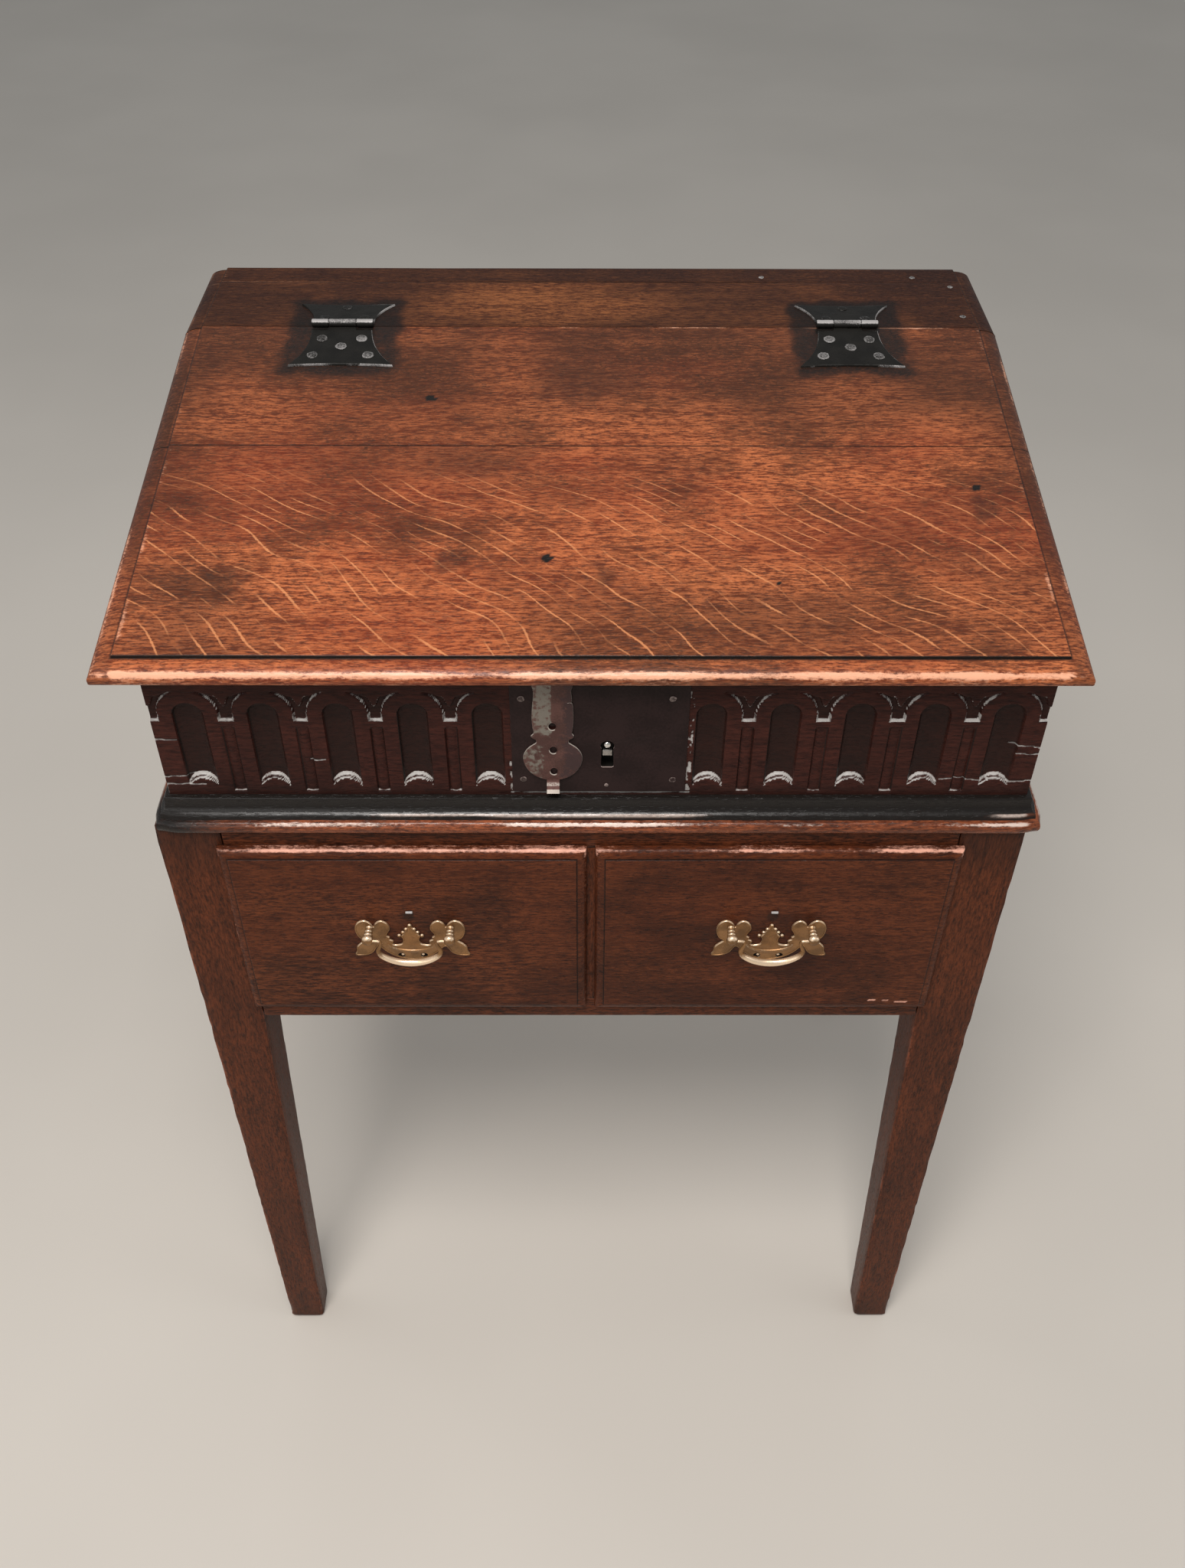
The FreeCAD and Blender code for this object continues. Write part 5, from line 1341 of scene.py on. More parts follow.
def scratches(x, z):
    """Short pale scratches low on the right of the right drawer."""
    marks = np.zeros(x.shape)
    for x0, x1, height in ((246, 252, 601.0), (256, 264, 600.5), (268, 281, 600.0)):
        line = 1 - ease(0.6 * MM, 1.6 * MM, np.abs(z - height * MM))
        marks = np.maximum(marks, line * (x > x0 * MM) * (x < x1 * MM))
    return marks


# Hinges

def leaf_plan(centre, direction, lean):
    """A butterfly leaf: its half width grows from the waist to the tips along a hollow curve, its
    far edge is hollow too, and its root is cut back beside the other leaf's knuckles."""
    reach, tip = (58.5, 45.0) if direction < 0 else (42.0, 42.0)
    waist = 26.5

    def plan(u, v, inset):
        v, side = np.broadcast_arrays(v, u)
        half = waist + (tip - waist) * (0.1 * v + 0.9 * v ** 2.4)
        far = reach - 2.0 * (1 - (2 * side - 1) ** 2)
        middle_part = np.abs(2 * side - 1) * waist < 12.2
        own = middle_part if direction < 0 else ~middle_part
        start = np.where(own, 3.0, 7.2) + inset / MM * 0.5
        y = start + (far - inset / MM - start) * v
        x = (2 * side - 1) * (half - inset / MM) + lean * v
        return centre + x * MM, HINGE_Y + direction * y * MM

    return plan


def nail_head(shell, place, facing, radius, seed, bright=1.0):
    """A clenched nail head: a shallow uneven dome with a flattened crown."""
    r = radius
    profile = [(-1.0 * MM, r * 0.55), (0.05 * MM, r * 0.98), (0.4 * MM, r), (0.72 * MM, r * 0.8),
               (0.78 * MM, r * 0.56), (1.0 * MM, r * 0.32), (1.02 * MM, r * 0.1)]
    # The head is painted pale: rubbed iron and a painted highlight.
    rub = np.repeat([0.3, 0.6, 0.68, 0.64, 0.55, 0.58, 0.58], 16) * bright
    return turned(shell, profile, place, facing, sides=16, rough=0.24, seed=seed, wear=rub)


def knuckle(shell, start, end, z, worn):
    """One rolled knuckle with eased ends."""
    r = 3.42 * MM
    run = end - start
    profile = [(0, r * 0.5), (0, r * 0.86), (0.35 * MM, r * 0.97), (1.0 * MM, r)]
    profile += [(t, r * 0.995) for t in np.linspace(1.5 * MM, run - 1.5 * MM, 10)]
    profile += [(run - 1.0 * MM, r), (run - 0.35 * MM, r * 0.97), (run, r * 0.86), (run, r * 0.5)]
    return turned(shell, profile, (start, HINGE_Y, z), (1, 0, 0), sides=28, rough=0.03, seed=7,
                  highlight_above=worn)


# Along the pin from a hinge's middle, in millimetres: the lid's leaf has the middle knuckle and
# the ledge's leaf the two outer ones.
KNUCKLES = {"lid": [(-12.0, 12.0)], "ledge": [(-27.0, -12.4), (12.4, 27.0)]}
LEAF_NAILS = {
    "lid": [(-17.5, 20.5), (17.5, 20.5), (0, 32), (-24.5, 44.5), (23.5, 44.5)],
    "ledge": [(-17.5, 14), (17.5, 14), (0, 34)],
}
LEAF_FACE = 1.9 * MM


def leaf_shell(part, centre, lean, seed):
    """One leaf with its knuckles: forged uneven, and pale round its rim, most on the right, as
    wear and as a painted highlight along its edges.
    """
    on_lid = part == "lid"
    levels = [(1.3 * MM, 2.0 * MM), (0.5 * MM, 1.85 * MM), (0.1 * MM, 1.4 * MM), (0, 0.9 * MM),
              (0, 0)]
    plan = leaf_plan(centre, -1 if on_lid else 1, lean if on_lid else 0.0)
    points, quads, caps, inset = slab(plan, levels, np.linspace(0, 1, 64), np.linspace(0, 1, 30))
    x, y = points[:, 0], points[:, 1]
    points[:, 2] += (points[:, 2] > LEAF_FACE) * ripple(x * 130, y * 130, seed) * 0.3 * MM
    points[:, 2] += LEDGE_TOP
    rim = inset < 0.9 * MM
    wear = rim * (0.36 + 0.5 * ripple(x * 60, y * 60, seed + 1))
    wear += rim * 0.3 * (x > centre + 20 * MM)
    shell = Shell().add(tipped(points) if on_lid else points, quads, caps, wear=wear)
    for start, end in KNUCKLES[part]:
        # Each knuckle has a painted highlight along its top.
        knuckle(shell, centre + start * MM, centre + end * MM, LEDGE_TOP + 3.5 * MM,
                (0.3, 0.64) if on_lid else (0.1, 0.88))
    return shell


class BIBLEBOX_OT_hinges(bpy.types.Operator):
    """Model the two butterfly hinges, their knuckles and every nail of the top"""
    bl_idname = "bible_box.hinges"
    bl_label = "Butterfly hinges"

    def execute(self, context):
        slope = context.scene.bible_lid.slope
        lid_nails, ledge_nails = Shell(), Shell()
        up, leaning = (0, 0, 1), (0, -math.sin(slope), math.cos(slope))
        face = LEDGE_TOP + LEAF_FACE
        seed = 90
        for name, centre, lean in zip(("left", "right"), hinge_centres(), (3.6, -1.0)):
            for part, body in (("lid", "lid"), ("ledge", BODY)):
                leaf = f"hinge_{name}_{part}_leaf"
                shell = leaf_shell(part, centre, lean, seed)
                put(leaf + "_forged", shell, finish("iron"), body, [leaf])
            for x, down in LEAF_NAILS["lid"]:
                x += lean * down / 58
                spot = tipped([[centre + x * MM, HINGE_Y - down * MM, face]])[0]
                nail_head(lid_nails, spot, leaning, 4.9 * MM, seed, 0.8 + 0.08 * (seed % 3))
                seed += 1
            for x, back in LEAF_NAILS["ledge"]:
                spot = (centre + x * MM, HINGE_Y + back * MM, face)
                nail_head(ledge_nails, spot, up, 4.4 * MM, seed, 0.6)
                seed += 1
        wall, back_wall = BOX_RIGHT - 9 * MM, high("box_back_board").y - 8 * MM
        for x, y in ((wall, HINGE_Y + 22 * MM), (wall, HINGE_Y + 84 * MM),
                     (BOX_RIGHT - 41 * MM, back_wall), (BOX_MIDDLE + 154 * MM, back_wall)):
            nail_head(ledge_nails, (x, y, LEDGE_TOP), up, 2.6 * MM, seed)
            seed += 1
        # The two nails of the hasp's butt are placed from the lowest point of its barrel, and
        # hang a little below its plate.
        lo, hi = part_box("hasp_butt")
        for side in (-1, 1):
            x = (lo.x + hi.x) / 2 + side * 9.4 * MM
            y = lo.y + 4.4 * MM
            z = lo.z + (y - lo.y) * math.tan(slope) + 0.93 * MM
            nail_head(lid_nails, (x, y, z), (0, math.sin(slope), -math.cos(slope)), 2.5 * MM, seed)
            seed += 1
        put("lid_nail_heads", lid_nails, finish("iron"), "lid", ["lid_nails"])
        put("ledge_nail_heads", ledge_nails, finish("iron"), BODY, ["ledge_nails"])
        paint_nodes("steel", "hinge_pins")
        return {"FINISHED"}


# Lock and hasp

def upright(y):
    """Put a flat plate upright, facing the front, with its middle at a depth."""

    def place(a, b, c):
        return a, y - c, b

    return place


def keyhole(x, z):
    """A round hole over a slot whose foot has eased corners."""
    half, reach, drop = 4.6 * MM, 5.3 * MM, 21.6 * MM
    join = math.acos(half / reach)
    turn = np.linspace(-join, math.pi + join, 22)
    foot = ((-1.06, 0.8), (-0.8, 0), (0.8, 0), (1.06, 0.8))
    return np.concatenate([
        np.stack([x + reach * np.cos(turn), z + reach * np.sin(turn)], -1),
        [(x + half * a, z - drop + b * MM) for a, b in foot],
    ])


def nibbled_rim(lo, hi, across, tall):
    """An upright plate's outline in short steps, eaten in by smooth noise."""
    corners = four_corners(lo.x, hi.x, lo.z, hi.z)
    sides = []
    for place, count in enumerate((across, tall, across, tall)):
        ends = zip(corners[place], corners[(place + 1) % 4])
        sides.append(np.stack([np.linspace(*end, count, endpoint=False) for end in ends], -1))
    rim = np.concatenate(sides)
    nibble = np.abs(ripple(rim[:, 0] * 130, rim[:, 1] * 130, 101))[:, None] * 1.1 * MM
    return rim - np.sign(rim - rim.mean(0)) * nibble * 0.5


class BIBLEBOX_OT_lock(bpy.types.Operator):
    """Model the iron lock plate with its keyhole, nails, rivet and drill pin"""
    bl_idname = "bible_box.lock"
    bl_label = "Lock"

    def execute(self, context):
        lo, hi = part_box("lock_plate")
        pin = middle("lock_drill_pin")
        x, z = pin.x, pin.z
        slot = middle("hasp").x
        staple = four_corners(slot - 3.5 * MM, slot + 3.5 * MM, 883.5 * MM, 903.5 * MM)
        mesh = cut_plate("lock_plate_forged", [nibbled_rim(lo, hi, 64, 54), keyhole(x, z), staple],
                         1.5 * MM, 0.3 * MM, upright(BOX_FRONT - 0.75 * MM))
        place_piece("lock_plate_forged", mesh, finish("lock_iron"), BODY, ["lock_plate"])
        nails = Shell()
        for number, (nx, nz, radius, bright) in enumerate((
            (lo.x + 8.5 * MM, lo.z + 13.5 * MM, 2.7, 0.95),
            (hi.x - 10.0 * MM, lo.z + 13.0 * MM, 2.7, 0.95),
            (lo.x + 8.5 * MM, hi.z - 19.5 * MM, 2.7, 0.95),
            (hi.x - 13.0 * MM, hi.z - 19.5 * MM, 2.7, 0.95),
            (x - 0.5 * MM, lo.z + 7.3 * MM, 1.6, 1.4),
        )):
            nail_head(nails, (nx, lo.y, nz), (0, -1, 0), radius * MM, 110 + number, bright)
        put("lock_nail_heads", nails, finish("lock_iron"), BODY, ["lock_plate_nails"])
        corners = four_corners(x - 3.8 * MM, x + 3.8 * MM, z - 11.0 * MM, z - 5.4 * MM)
        step = bar(Shell(), corners, along_y, BOX_FRONT + 0.4 * MM, BOX_FRONT + 4 * MM,
                   0.5 * MM, 1)
        put("keyhole_step", step, finish("steel"), BODY)
        lo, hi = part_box("lock_drill_pin")
        r = (hi.x - lo.x) / 2
        run = hi.y - lo.y
        profile = [(0, r * 0.4), (0, r), (run - 1.4 * MM, r), (run - 0.6 * MM, r * 0.86),
                   (run - 0.15 * MM, r * 0.55), (run, r * 0.2)]
        shell = turned(Shell(), profile, (x, hi.y, z), (0, -1, 0), 28, wear=0.8)
        put("drill_pin_bright", shell, finish("steel"), BODY, ["lock_drill_pin"])
        paint_nodes("iron", "lock_case")
        paint_nodes("steel", "lock_bolt", "lock_spring")
        return {"FINISHED"}


HASP_KNOTS = [
    # right side of the strap, neck and bulb, as (across, height above the floor) in millimetres
    (14.3, 938), (14.8, 929.0), (11.6, 927.7), (15.2, 926.6), (16.0, 914), (15.6, 904),
    (14.8, 898.0), (16.2, 895.2), (15.0, 893.0), (12.6, 891.4), (12.4, 888.4), (14.8, 886.2),
    (18.8, 882.6), (21.8, 877.4), (22.6, 872.0), (21.2, 865.4), (18.0, 859.2), (13.2, 854.4),
    (8.0, 851.8), (5.0, 851.0),
]
HASP_NOTCH = 11.6
HASP_HOLES = [(0.0, 905.0), (0.6, 881.5), (0.8, 859.8)]
HASP_PIN_OUT = 3.0 * MM
HASP_THICKNESS = 1.6 * MM
BARREL_OUT = 10.4 * MM


def hasp_rim(pin_z):
    """The hasp's outline. Its left side has no notch, and its strap is narrower there."""
    right = [(14.0, pin_z / MM - 3.2)] + HASP_KNOTS
    left = [(-a + (0.8 if b > 896 else 0.0), b) for a, b in reversed(right) if a != HASP_NOTCH]
    rim = smooth_loop(np.array(right + left) * MM, 6)
    rim[:, 1] = np.clip(rim[:, 1], 850.8 * MM, pin_z - 3.2 * MM)
    return rim


def ring_round(shell, profile, centre, tall, **marks):
    """A ring that faces the front: the closed (out, radius) profile turned round its centre, and
    drawn out in height."""
    out, radius = np.array(profile).T
    turn = np.linspace(0, 2 * math.pi, 24, endpoint=False)
    points = np.stack([
        centre[0] + radius[:, None] * np.cos(turn), centre[1] - out[:, None] + 0 * turn,
        centre[2] + tall * radius[:, None] * np.sin(turn)], -1)
    return shell.add(points, net(len(out), 24, round_rows=True, round_columns=True), **marks)


def hasp_burrs(shell, x, face):
    """The raised burr round each hole, with a painted highlight on its lower part."""
    burr = [(0.0, 2.9 * MM), (0.0, 3.5 * MM), (0.25 * MM, 3.3 * MM), (0.32 * MM, 3.05 * MM),
            (0.2 * MM, 2.85 * MM), (-0.4 * MM, 2.8 * MM)]
    turn = np.linspace(0, 2 * math.pi, 24, endpoint=False)
    # Painted highlight on the lower part of each burr.
    pale = np.tile(0.85 * ease(-0.1, 0.7, -np.sin(turn + 0.4)), len(burr))
    for across, height in HASP_HOLES:
        ring_round(shell, burr, (x + across * MM, face, height * MM), 1.28, wear=pale)


def hasp_lip(shell, x, back):
    """The lip at the foot: a flat strip bent forward over its first third, with painted highlights
    on and below the bend and again at its tip."""
    run = np.linspace(0, 12 * MM, 25)
    bend = ease(0, 4 * MM, run) * math.radians(38)
    y = back - 1.2 * MM - np.concatenate([[0], np.cumsum(np.sin(bend[1:]) * np.diff(run))])
    z = 851.6 * MM - np.concatenate([[0], np.cumsum(np.cos(bend[1:]) * np.diff(run))])
    outline = rounded(four_corners(-5, 5, -0.75, 0.75), 0.5, bend=3)[0] * MM
    bend, y, z = bend[:, None], y[:, None], z[:, None]
    points = np.stack([
        x + outline[:, 0] + 0 * y, y + outline[:, 1] * np.cos(bend),
        z - outline[:, 1] * np.sin(bend)], -1)
    # Painted highlights on the bend and at the tip.
    pale = 0.62 * ease(1, 4, run / MM) * (1 - ease(6.0, 6.6, run / MM))
    pale += 1.2 * ease(8.6, 9.2, run / MM)
    return shell.tube(points, wear=np.broadcast_to(pale[:, None], points.shape[:2]))


class BIBLEBOX_OT_hasp(bpy.types.Operator):
    """Model the hasp: strap, neck, round bulb with three holes, and its turned-out lip"""
    bl_idname = "bible_box.hasp"
    bl_label = "Hasp"

    def execute(self, context):
        lo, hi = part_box("hasp")
        x = (lo.x + hi.x) / 2
        pin = middle("hasp_pin")
        back = pin.y + HASP_PIN_OUT
        hole = circle(0, 0, 3.4 * MM, 20) * [1, 1.3]
        holes = [hole + [across * MM, height * MM] for across, height in HASP_HOLES]
        outlines = [outline + [(x, 0)] for outline in (hasp_rim(pin.z), *holes)]
        mesh = cut_plate("hasp_strap", outlines, HASP_THICKNESS, 0.35 * MM,
                         upright(back - HASP_THICKNESS / 2))
        place_piece("hasp_strap", mesh, finish("hasp"), "hasp", ["hasp"])
        shell = Shell()
        barrel = [(0, 1.5 * MM), (0, 2.6 * MM), (0.4 * MM, 3.0 * MM), (9.8 * MM, 3.0 * MM),
                  (10.2 * MM, 2.6 * MM), (10.2 * MM, 1.5 * MM)]
        for place in (0, 2):
            start = lo.x + 7.0 * MM + place * BARREL_OUT
            turned(shell, barrel, (start, pin.y, pin.z), (1, 0, 0), 20, wear=0.3)
        # Two short tongues join the strap to its barrels.
        for side in (-1, 1):
            a, b = x + side * BARREL_OUT - 5.0 * MM, x + side * BARREL_OUT + 5.0 * MM
            section = four_corners(a, b, back - 1.5 * MM, back - 0.1 * MM)
            tongue = [[(*corner, z) for corner in section] for z in (pin.z - 4 * MM, pin.z)]
            shell.tube(np.array(tongue), wear=0.1)
        hasp_burrs(shell, x, back - HASP_THICKNESS)
        hasp_lip(shell, x, back)
        put("hasp_barrel_and_lip", shell, finish("hasp"), "hasp", crease=45)
        paint_nodes("iron", "hasp_butt")
        paint_nodes("steel", "hasp_pin")
        return {"FINISHED"}


# Handles

PLATE_KNOTS = [
    # right half of the plate, as (across, up) in millimetres from the posts' middle
    (0.0, 4.8), (1.5, 3.8), (2.0, 1.0), (4.2, -2.4), (5.5, -5.6), (7.2, -8.2), (8.2, -10.4),
    (7.2, -12.4), (6.9, -16.0), (8.2, -19.4), (11.5, -20.7), (14.6, -20.8), (16.0, -19.3),
    (15.0, -17.3), (15.7, -15.3), (18.3, -13.8), (17.7, -11.4), (20.0, -9.1), (18.9, -5.4),
    (16.9, -1.4),
    (17.3, 3.2), (19.6, 7.2), (22.9, 9.2), (26.2, 8.6), (29.0, 5.4), (30.3, 1.8), (32.3, 5.8),
    (35.8, 9.1), (39.7, 9.4), (43.4, 7.0), (45.7, 2.4), (46.1, -2.8), (44.9, -8.4), (42.6, -12.7),
    (39.3, -14.9), (41.2, -17.2), (43.9, -19.6), (46.6, -23.5), (47.2, -28.6), (48.8, -33.6),
    (43.6, -34.6), (37.4, -33.2), (33.0, -29.8), (30.8, -25.6), (28.6, -22.8), (25.6, -24.9),
    (22.4, -29.0), (17.6, -33.4), (12.4, -36.6), (6.4, -38.8), (0.0, -39.8),
]


CREST_BEADS = [(3.4, -0.8), (6.2, -4.8), (9.6, -8.7)]


def pushed_in(outline, distance):
    """A closed outline moved inwards along its normals."""
    run = np.roll(outline, -1, 0) - np.roll(outline, 1, 0)
    run /= np.linalg.norm(run, axis=1, keepdims=True)
    x, y = outline.T
    area = np.sum(x * np.roll(y, -1) - y * np.roll(x, -1))
    return outline + np.stack([-run[:, 1], run[:, 0]], -1) * distance * np.sign(area)


def bead(shell, path, y, radius, closed, **marks):
    """A half-round bead on an upright face: a ring of eight points carried along the path."""
    if closed:
        run = np.roll(path, -1, 0) - np.roll(path, 1, 0)
    else:
        run = np.gradient(path, axis=0)
    run /= np.linalg.norm(run, axis=1, keepdims=True)
    radius = np.broadcast_to(radius, (len(path),))[:, None]
    turn = np.linspace(0, 2 * math.pi, 8, endpoint=False)
    side = radius * np.cos(turn)
    points = np.stack([
        path[:, :1] + side * run[:, 1:], y - radius * 0.8 * np.sin(turn),
        path[:, 1:] - side * run[:, :1]], -1)
    caps = [] if closed else [np.arange(8), np.arange(8) + (len(path) - 1) * 8]
    quads = net(len(path), 8, round_rows=closed, round_columns=True)
    return shell.add(points, quads, caps, **marks)


POST_OUT = 34 * MM


def handle_shells(name):
    """The pierced plate of one handle, its raised beads, buttons and rib, and the place of the
    posts' middle."""
    sizes = bpy.context.scene.bible_handles
    lo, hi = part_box("handle_" + name + "_plate")
    bail_lo, bail_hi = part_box("handle_" + name + "_bail")
    x, z = (bail_lo.x + bail_hi.x) / 2, bail_hi.z - sizes.pin
    right = np.array(PLATE_KNOTS) * MM * sizes.half_width / (49 * MM)
    left = right[-2:0:-1] * [-1, 1]
    rim = smooth_loop(np.concatenate([right, left]), 4)
    holes = [circle(side * HOLE_OUT, -HOLE_DOWN, 3.0 * MM, 14) for side in (-1, 1)]
    move = [(x, z)]
    thickness = hi.y - lo.y
    plate = cut_plate("handle_" + name + "_plate_cast", [o + move for o in (rim, *holes)],
                      thickness, 0.5 * MM, upright(lo.y + thickness / 2))
    raised = Shell()
    # Painted highlight: the rim's bead is paler where it faces up.
    rise = ease(0.1, 0.95, (rim - pushed_in(rim, 1.0))[:, 1])
    bead(raised, pushed_in(rim, 0.6 * MM) + move, lo.y, 0.6 * MM, True,
         wear=np.repeat(0.3 + 0.5 * rise, 8))
    pip = [(-2.5 * MM, 1.0 * MM), (-1.0 * MM, 1.3 * MM), (-0.6 * MM, 0.7 * MM)]
    for side in (-1, 1):
        place = (x + side * 8.6 * MM, lo.y, z - 34.4 * MM)
        turned(raised, pip, place, (0, -1, 0), 10, wear=0.9)
    button = [(-0.8 * MM, 1.2 * MM), (0.3 * MM, 1.7 * MM), (1.0 * MM, 1.5 * MM),
              (1.5 * MM, 0.9 * MM), (1.7 * MM, 0.3 * MM)]
    # The buttons of the crest have a painted highlight on top.
    for across, up in [(0, 4.0)] + [(side * a, b) for side in (-1, 1) for a, b in CREST_BEADS]:
        place = (x + across * MM, lo.y, z + up * MM)
        turned(raised, button, place, (0, -1, 0), 14, highlight_above=(0.2, 0.85))
    turn = np.linspace(0.05, math.pi - 0.05, 30)
    rib = np.stack([19.5 * MM * np.cos(turn), (-19.0 - 9.5 * np.sin(turn)) * MM], -1)
    bead(raised, rib + move, lo.y, (0.8 + 0.7 * np.sin(turn)) * MM, False, wear=0.42)
    return plate, raised, x, z


def knob_profile():
    """A flattened ball on a neck, with a smaller collar behind it, from the plate outwards."""
    ball = np.linspace(0.25, math.pi - 0.12, 13)
    collar = np.linspace(0.35, math.pi - 0.35, 7)
    profile = [(0.0, 3.2), (0.5, 3.4), (1.2, 3.1), (1.8, 2.3), (2.6, 2.0), (3.4, 2.0)]
    profile += [(4.8 - 1.4 * math.cos(t), 1.9 + 1.7 * math.sin(t)) for t in collar]
    profile += [(6.6, 2.0), (7.2, 2.0)]
    profile += [(8.6 - 1.4 * math.cos(t), 2.0 + 1.9 * math.sin(t)) for t in collar]
    profile += [(13.5 - 3.3 * math.cos(t), 5.0 * math.sin(t)) for t in ball]
    return [(a * MM, b * MM) for a, b in profile]


BAIL_KNOTS = [
    # half of the bail from its pin to the bow's foot, as (out, down) in millimetres
    (34.5, 0), (32.1, 0), (30.4, 0), (27.4, 0), (24.4, 0.5), (23.3, 2.3), (23.5, 5.2), (25.0, 9.0),
    (26.0, 13.2), (24.2, 18.0), (19.6, 22.0), (13.6, 25.2), (6.8, 27.2), (0, 27.8), (-6.8, 27.2),
]


def bail_shell(x, z, axis_y):
    """The bail: a round section carried along pins, corners and bow, a smooth curve through
    knots, that thickens on its way down to the grip."""
    sizes = bpy.context.scene.bible_handles
    knots = np.array(BAIL_KNOTS) * [sizes.bow / 26, sizes.drop / 27.8]
    # The first and last knots only guide the curve: it is used from the second to the bow's foot.
    curve = smooth_loop(knots, 5)[5:(len(BAIL_KNOTS) - 2) * 5 + 1]
    across, drop = curve[:, 0], curve[:, 1]
    radius = sizes.pin + (sizes.grip - sizes.pin) * np.clip(drop / sizes.drop, 0, 1) ** 1.2
    radius[0] = sizes.pin * 0.8
    radius += 0.35 * MM * np.exp(-(across / (7.5 * MM)) ** 2) * (drop > sizes.drop * 0.7)
    across = np.concatenate([across, -across[-2::-1]])
    drop, radius = (np.concatenate([half, half[-2::-1]]) for half in (drop, radius))
    tangent = np.stack([np.gradient(across), np.gradient(drop)], -1)
    tangent /= np.linalg.norm(tangent, axis=1, keepdims=True)
    ring = np.linspace(0, 2 * math.pi, 18, endpoint=False)
    out = radius[:, None] * np.cos(ring)
    px = x + across[:, None] + out * tangent[:, 1:2]
    pz = z - drop[:, None] + out * tangent[:, 0:1]
    py = axis_y + np.minimum(radius, 2.7 * MM)[:, None] * np.sin(ring)
    rubbed_and_highlight = 0.25 + 0.7 * ease(0.35, 0.95, drop / sizes.drop) + 0.4 * (drop < 0.6 * MM)
    wear = np.broadcast_to(rubbed_and_highlight[:, None], px.shape)
    return Shell().tube(np.stack([px, py, pz], -1), wear=wear)


class BIBLEBOX_OT_handles(bpy.types.Operator):
    """Model the brass plate, knobs and drop bail of each drawer's handle"""
    bl_idname = "bible_box.handles"
    bl_label = "Drawer handles"

    def execute(self, context):
        for name in ("left", "right"):
            handle, body = "handle_" + name, "drawer_" + name
            plate, raised, x, z = handle_shells(name)
            place_piece(handle + "_plate_cast", plate, finish("brass"), body, [handle + "_plate"])
            put(handle + "_plate_rims", raised, finish("brass"), body)
            plate_y = low(handle + "_plate").y
            put(handle + "_knobs", post_shell(x, z, plate_y, high(handle + "_posts").y),
                finish("brass"), body, [handle + "_posts"])
            put(handle + "_bail_cast", bail_shell(x, z, middle(handle + "_bail").y),
                finish("brass"), "bail_" + name, [handle + "_bail"])
            put(body + "_old_pin", old_pin(x, z + 20.0 * MM, plate_y + PLATE_THICKNESS),
                finish("iron"), body)
        return {"FINISHED"}


def post_shell(x, z, plate_y, inside):
    """A handle's two posts: knob, shank through the drawer's front, and nut inside."""
    shell = Shell()
    depth = inside - plate_y
    shank = [(-1 * MM, 1.2 * MM), (-1 * MM, 2.2 * MM), (depth - 0.4 * MM, 2.2 * MM),
             (depth, 1.6 * MM)]
    nut = [(0, 3 * MM), (0, 5.7 * MM), (0.6 * MM, 6 * MM), (3.2 * MM, 6 * MM),
           (3.8 * MM, 5.4 * MM), (3.8 * MM, 3 * MM)]
    for side in (-1, 1):
        foot = (x + side * POST_OUT, plate_y, z)
        # Each knob has a painted highlight on its upper side.
        turned(shell, knob_profile(), foot, (0, -1, 0), 26, highlight_above=(0.08, 0.88))
        turned(shell, shank, foot, (0, 1, 0), 14)
        turned(shell, nut, (x + side * POST_OUT, inside - 4 * MM, z), (0, 1, 0), 6)
    return shell


def old_pin(x, z, field):
    """An old pin above a plate: a stub lying across, on a short leg out of the drawer's field."""
    shell = Shell()
    stub = [(0, 0.5 * MM), (0.3 * MM, 1.1 * MM), (5.6 * MM, 1.2 * MM), (6.0 * MM, 0.5 * MM)]
    turned(shell, stub, (x - 2 * MM, field - 1.4 * MM, z), (1, 0, 0), 12, wear=0.95)
    leg = [(-1 * MM, 0.9 * MM), (1.4 * MM, 0.9 * MM)]
    return turned(shell, leg, (x + 1 * MM, field, z), (0, -1, 0), 8)


# Studio

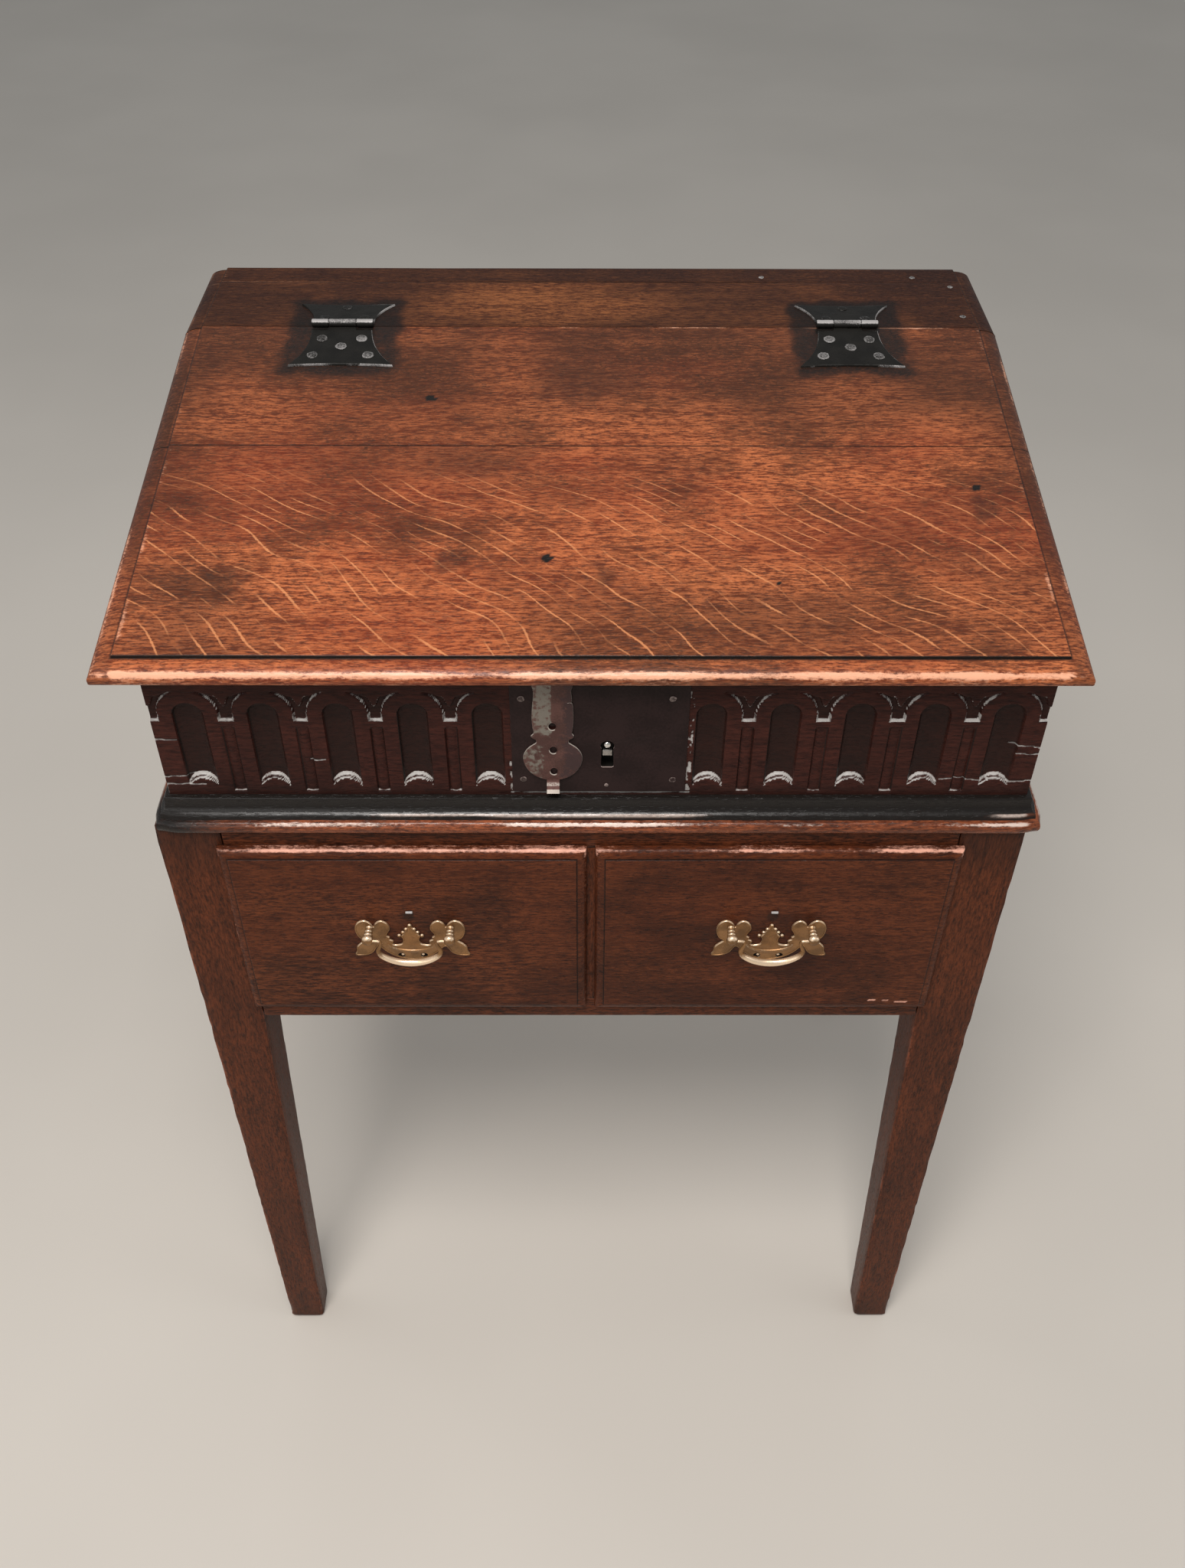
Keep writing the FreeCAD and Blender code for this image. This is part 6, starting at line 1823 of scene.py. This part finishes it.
class BIBLEBOX_OT_studio(bpy.types.Operator):
    """Make the pale floor, the soft lamps and the camera"""
    bl_idname = "bible_box.studio"
    bl_label = "Studio"

    def execute(self, context):
        scene = context.scene
        settings = scene.bible_studio
        scene.view_settings.view_transform = "Standard"
        span = np.linspace(-9, 9, 10)
        gx, gy = np.meshgrid(span, span)
        mesh = bpy.data.meshes.new("pale_floor")
        grid = np.stack([gx, gy, 0 * gx - 0.2 * MM], -1).reshape(-1, 3)
        mesh.from_pydata(grid.tolist(), [], net(*gx.shape).tolist())
        floor = bpy.data.objects.new("pale_floor", mesh)
        scene.collection.objects.link(floor)
        r = Recipe("pale floor")
        cloud = r.noise(r.scaled(r.place, (1.2, 1.2, 1.2)), 3.0)
        pale = tuple(settings.floor)
        shade = r.mix(cloud.step(0.3, 0.7), pale, tuple(c * 0.93 for c in pale))
        floor.data.materials.append(r.give(Base_Color=shade, Roughness=cloud * 0.1 + 0.6))
        world = bpy.data.worlds.new("even light")
        scene.world = world
        world.use_nodes = True
        sky = world.node_tree.nodes["Background"]
        sky.inputs["Color"].default_value = (0.93, 0.97, 1.0, 1.0)
        sky.inputs["Strength"].default_value = settings.sky
        # name, place, target, size, power and colour
        lamps = (
            ("overhead", (-0.25, -1.25, 3.0), (0, 0, 0.8), 1.0, 62.0, (1.0, 0.97, 0.94)),
            ("front", (-1.3, -2.9, 1.7), (0, 0, 0.6), 1.8, 16.0, (1.0, 0.98, 0.95)),
            ("right", (2.7, -0.6, 1.9), (0, 0, 0.8), 1.6, 10.0, (0.96, 0.98, 1.0)),
            ("left", (-2.7, 0.4, 1.9), (0, 0, 0.8), 1.6, 8.0, (0.96, 0.98, 1.0)),
        )
        for name, place, target, size, power, hue in lamps:
            light = bpy.data.lights.new(name, "AREA")
            light.shape, light.size, light.energy, light.color = "SQUARE", size, power, hue
            lamp = bpy.data.objects.new(name, light)
            away = np.subtract(target, place)
            lamp.location = place
            flat = math.hypot(away[0], away[1])
            lamp.rotation_euler = Euler(
                (math.atan2(flat, -away[2]), 0, math.atan2(-away[0], away[1])))
            scene.collection.objects.link(lamp)
        lens = bpy.data.cameras.new("photo_camera")
        lens.sensor_width, lens.lens = 36.0, settings.lens
        camera = bpy.data.objects.new("photo_camera", lens)
        camera.location = (-0.0044, -1.05997, 1.6096)
        turn = Euler((0, 0, math.radians(-0.374))).to_matrix()
        tilt = Euler((math.radians(90 - 42.93), 0, 0)).to_matrix()
        roll = Euler((0, 0, math.radians(0.295))).to_matrix()
        camera.rotation_euler = (turn @ tilt @ roll).to_euler()
        scene.collection.objects.link(camera)
        scene.camera = camera
        return {"FINISHED"}


STEPS = (
    BIBLEBOX_OT_studio, BIBLEBOX_OT_lid, BIBLEBOX_OT_carved_front, BIBLEBOX_OT_moulding,
    BIBLEBOX_OT_box_boards, BIBLEBOX_OT_legs, BIBLEBOX_OT_rails, BIBLEBOX_OT_drawers,
    BIBLEBOX_OT_hinges, BIBLEBOX_OT_lock, BIBLEBOX_OT_hasp, BIBLEBOX_OT_handles,
)


class BIBLEBOX_PT_panel(bpy.types.Panel):
    """Lists the steps that make the bible box"""
    bl_label = "Bible Box"
    bl_idname = "BIBLEBOX_PT_panel"
    bl_space_type = "VIEW_3D"
    bl_region_type = "UI"
    bl_category = "Bible Box"

    def draw(self, context):
        for step in STEPS:
            self.layout.operator(step.bl_idname)
        for group in GROUPS:
            settings = getattr(context.scene, group)
            box = self.layout.box()
            for setting in settings.bl_rna.properties.keys():
                if setting not in ("rna_type", "name"):
                    box.prop(settings, setting)


GROUPS = {
    "bible_oak": OakColours, "bible_metal": MetalColours, "bible_lid": LidSizes,
    "bible_carving": CarvingSizes, "bible_handles": HandleSizes, "bible_studio": StudioSettings,
}


def register():
    for kind in (*GROUPS.values(), *STEPS, BIBLEBOX_PT_panel):
        bpy.utils.register_class(kind)
    for name, kind in GROUPS.items():
        setattr(bpy.types.Scene, name, bpy.props.PointerProperty(type=kind))


def unregister():
    for name in GROUPS:
        delattr(bpy.types.Scene, name)
    for kind in reversed((*GROUPS.values(), *STEPS, BIBLEBOX_PT_panel)):
        bpy.utils.unregister_class(kind)


def main():
    """Run every step in order."""
    register()
    for step in STEPS:
        family, name = step.bl_idname.split(".")
        getattr(getattr(bpy.ops, family), name)()


if __name__ == "__main__":
    main()
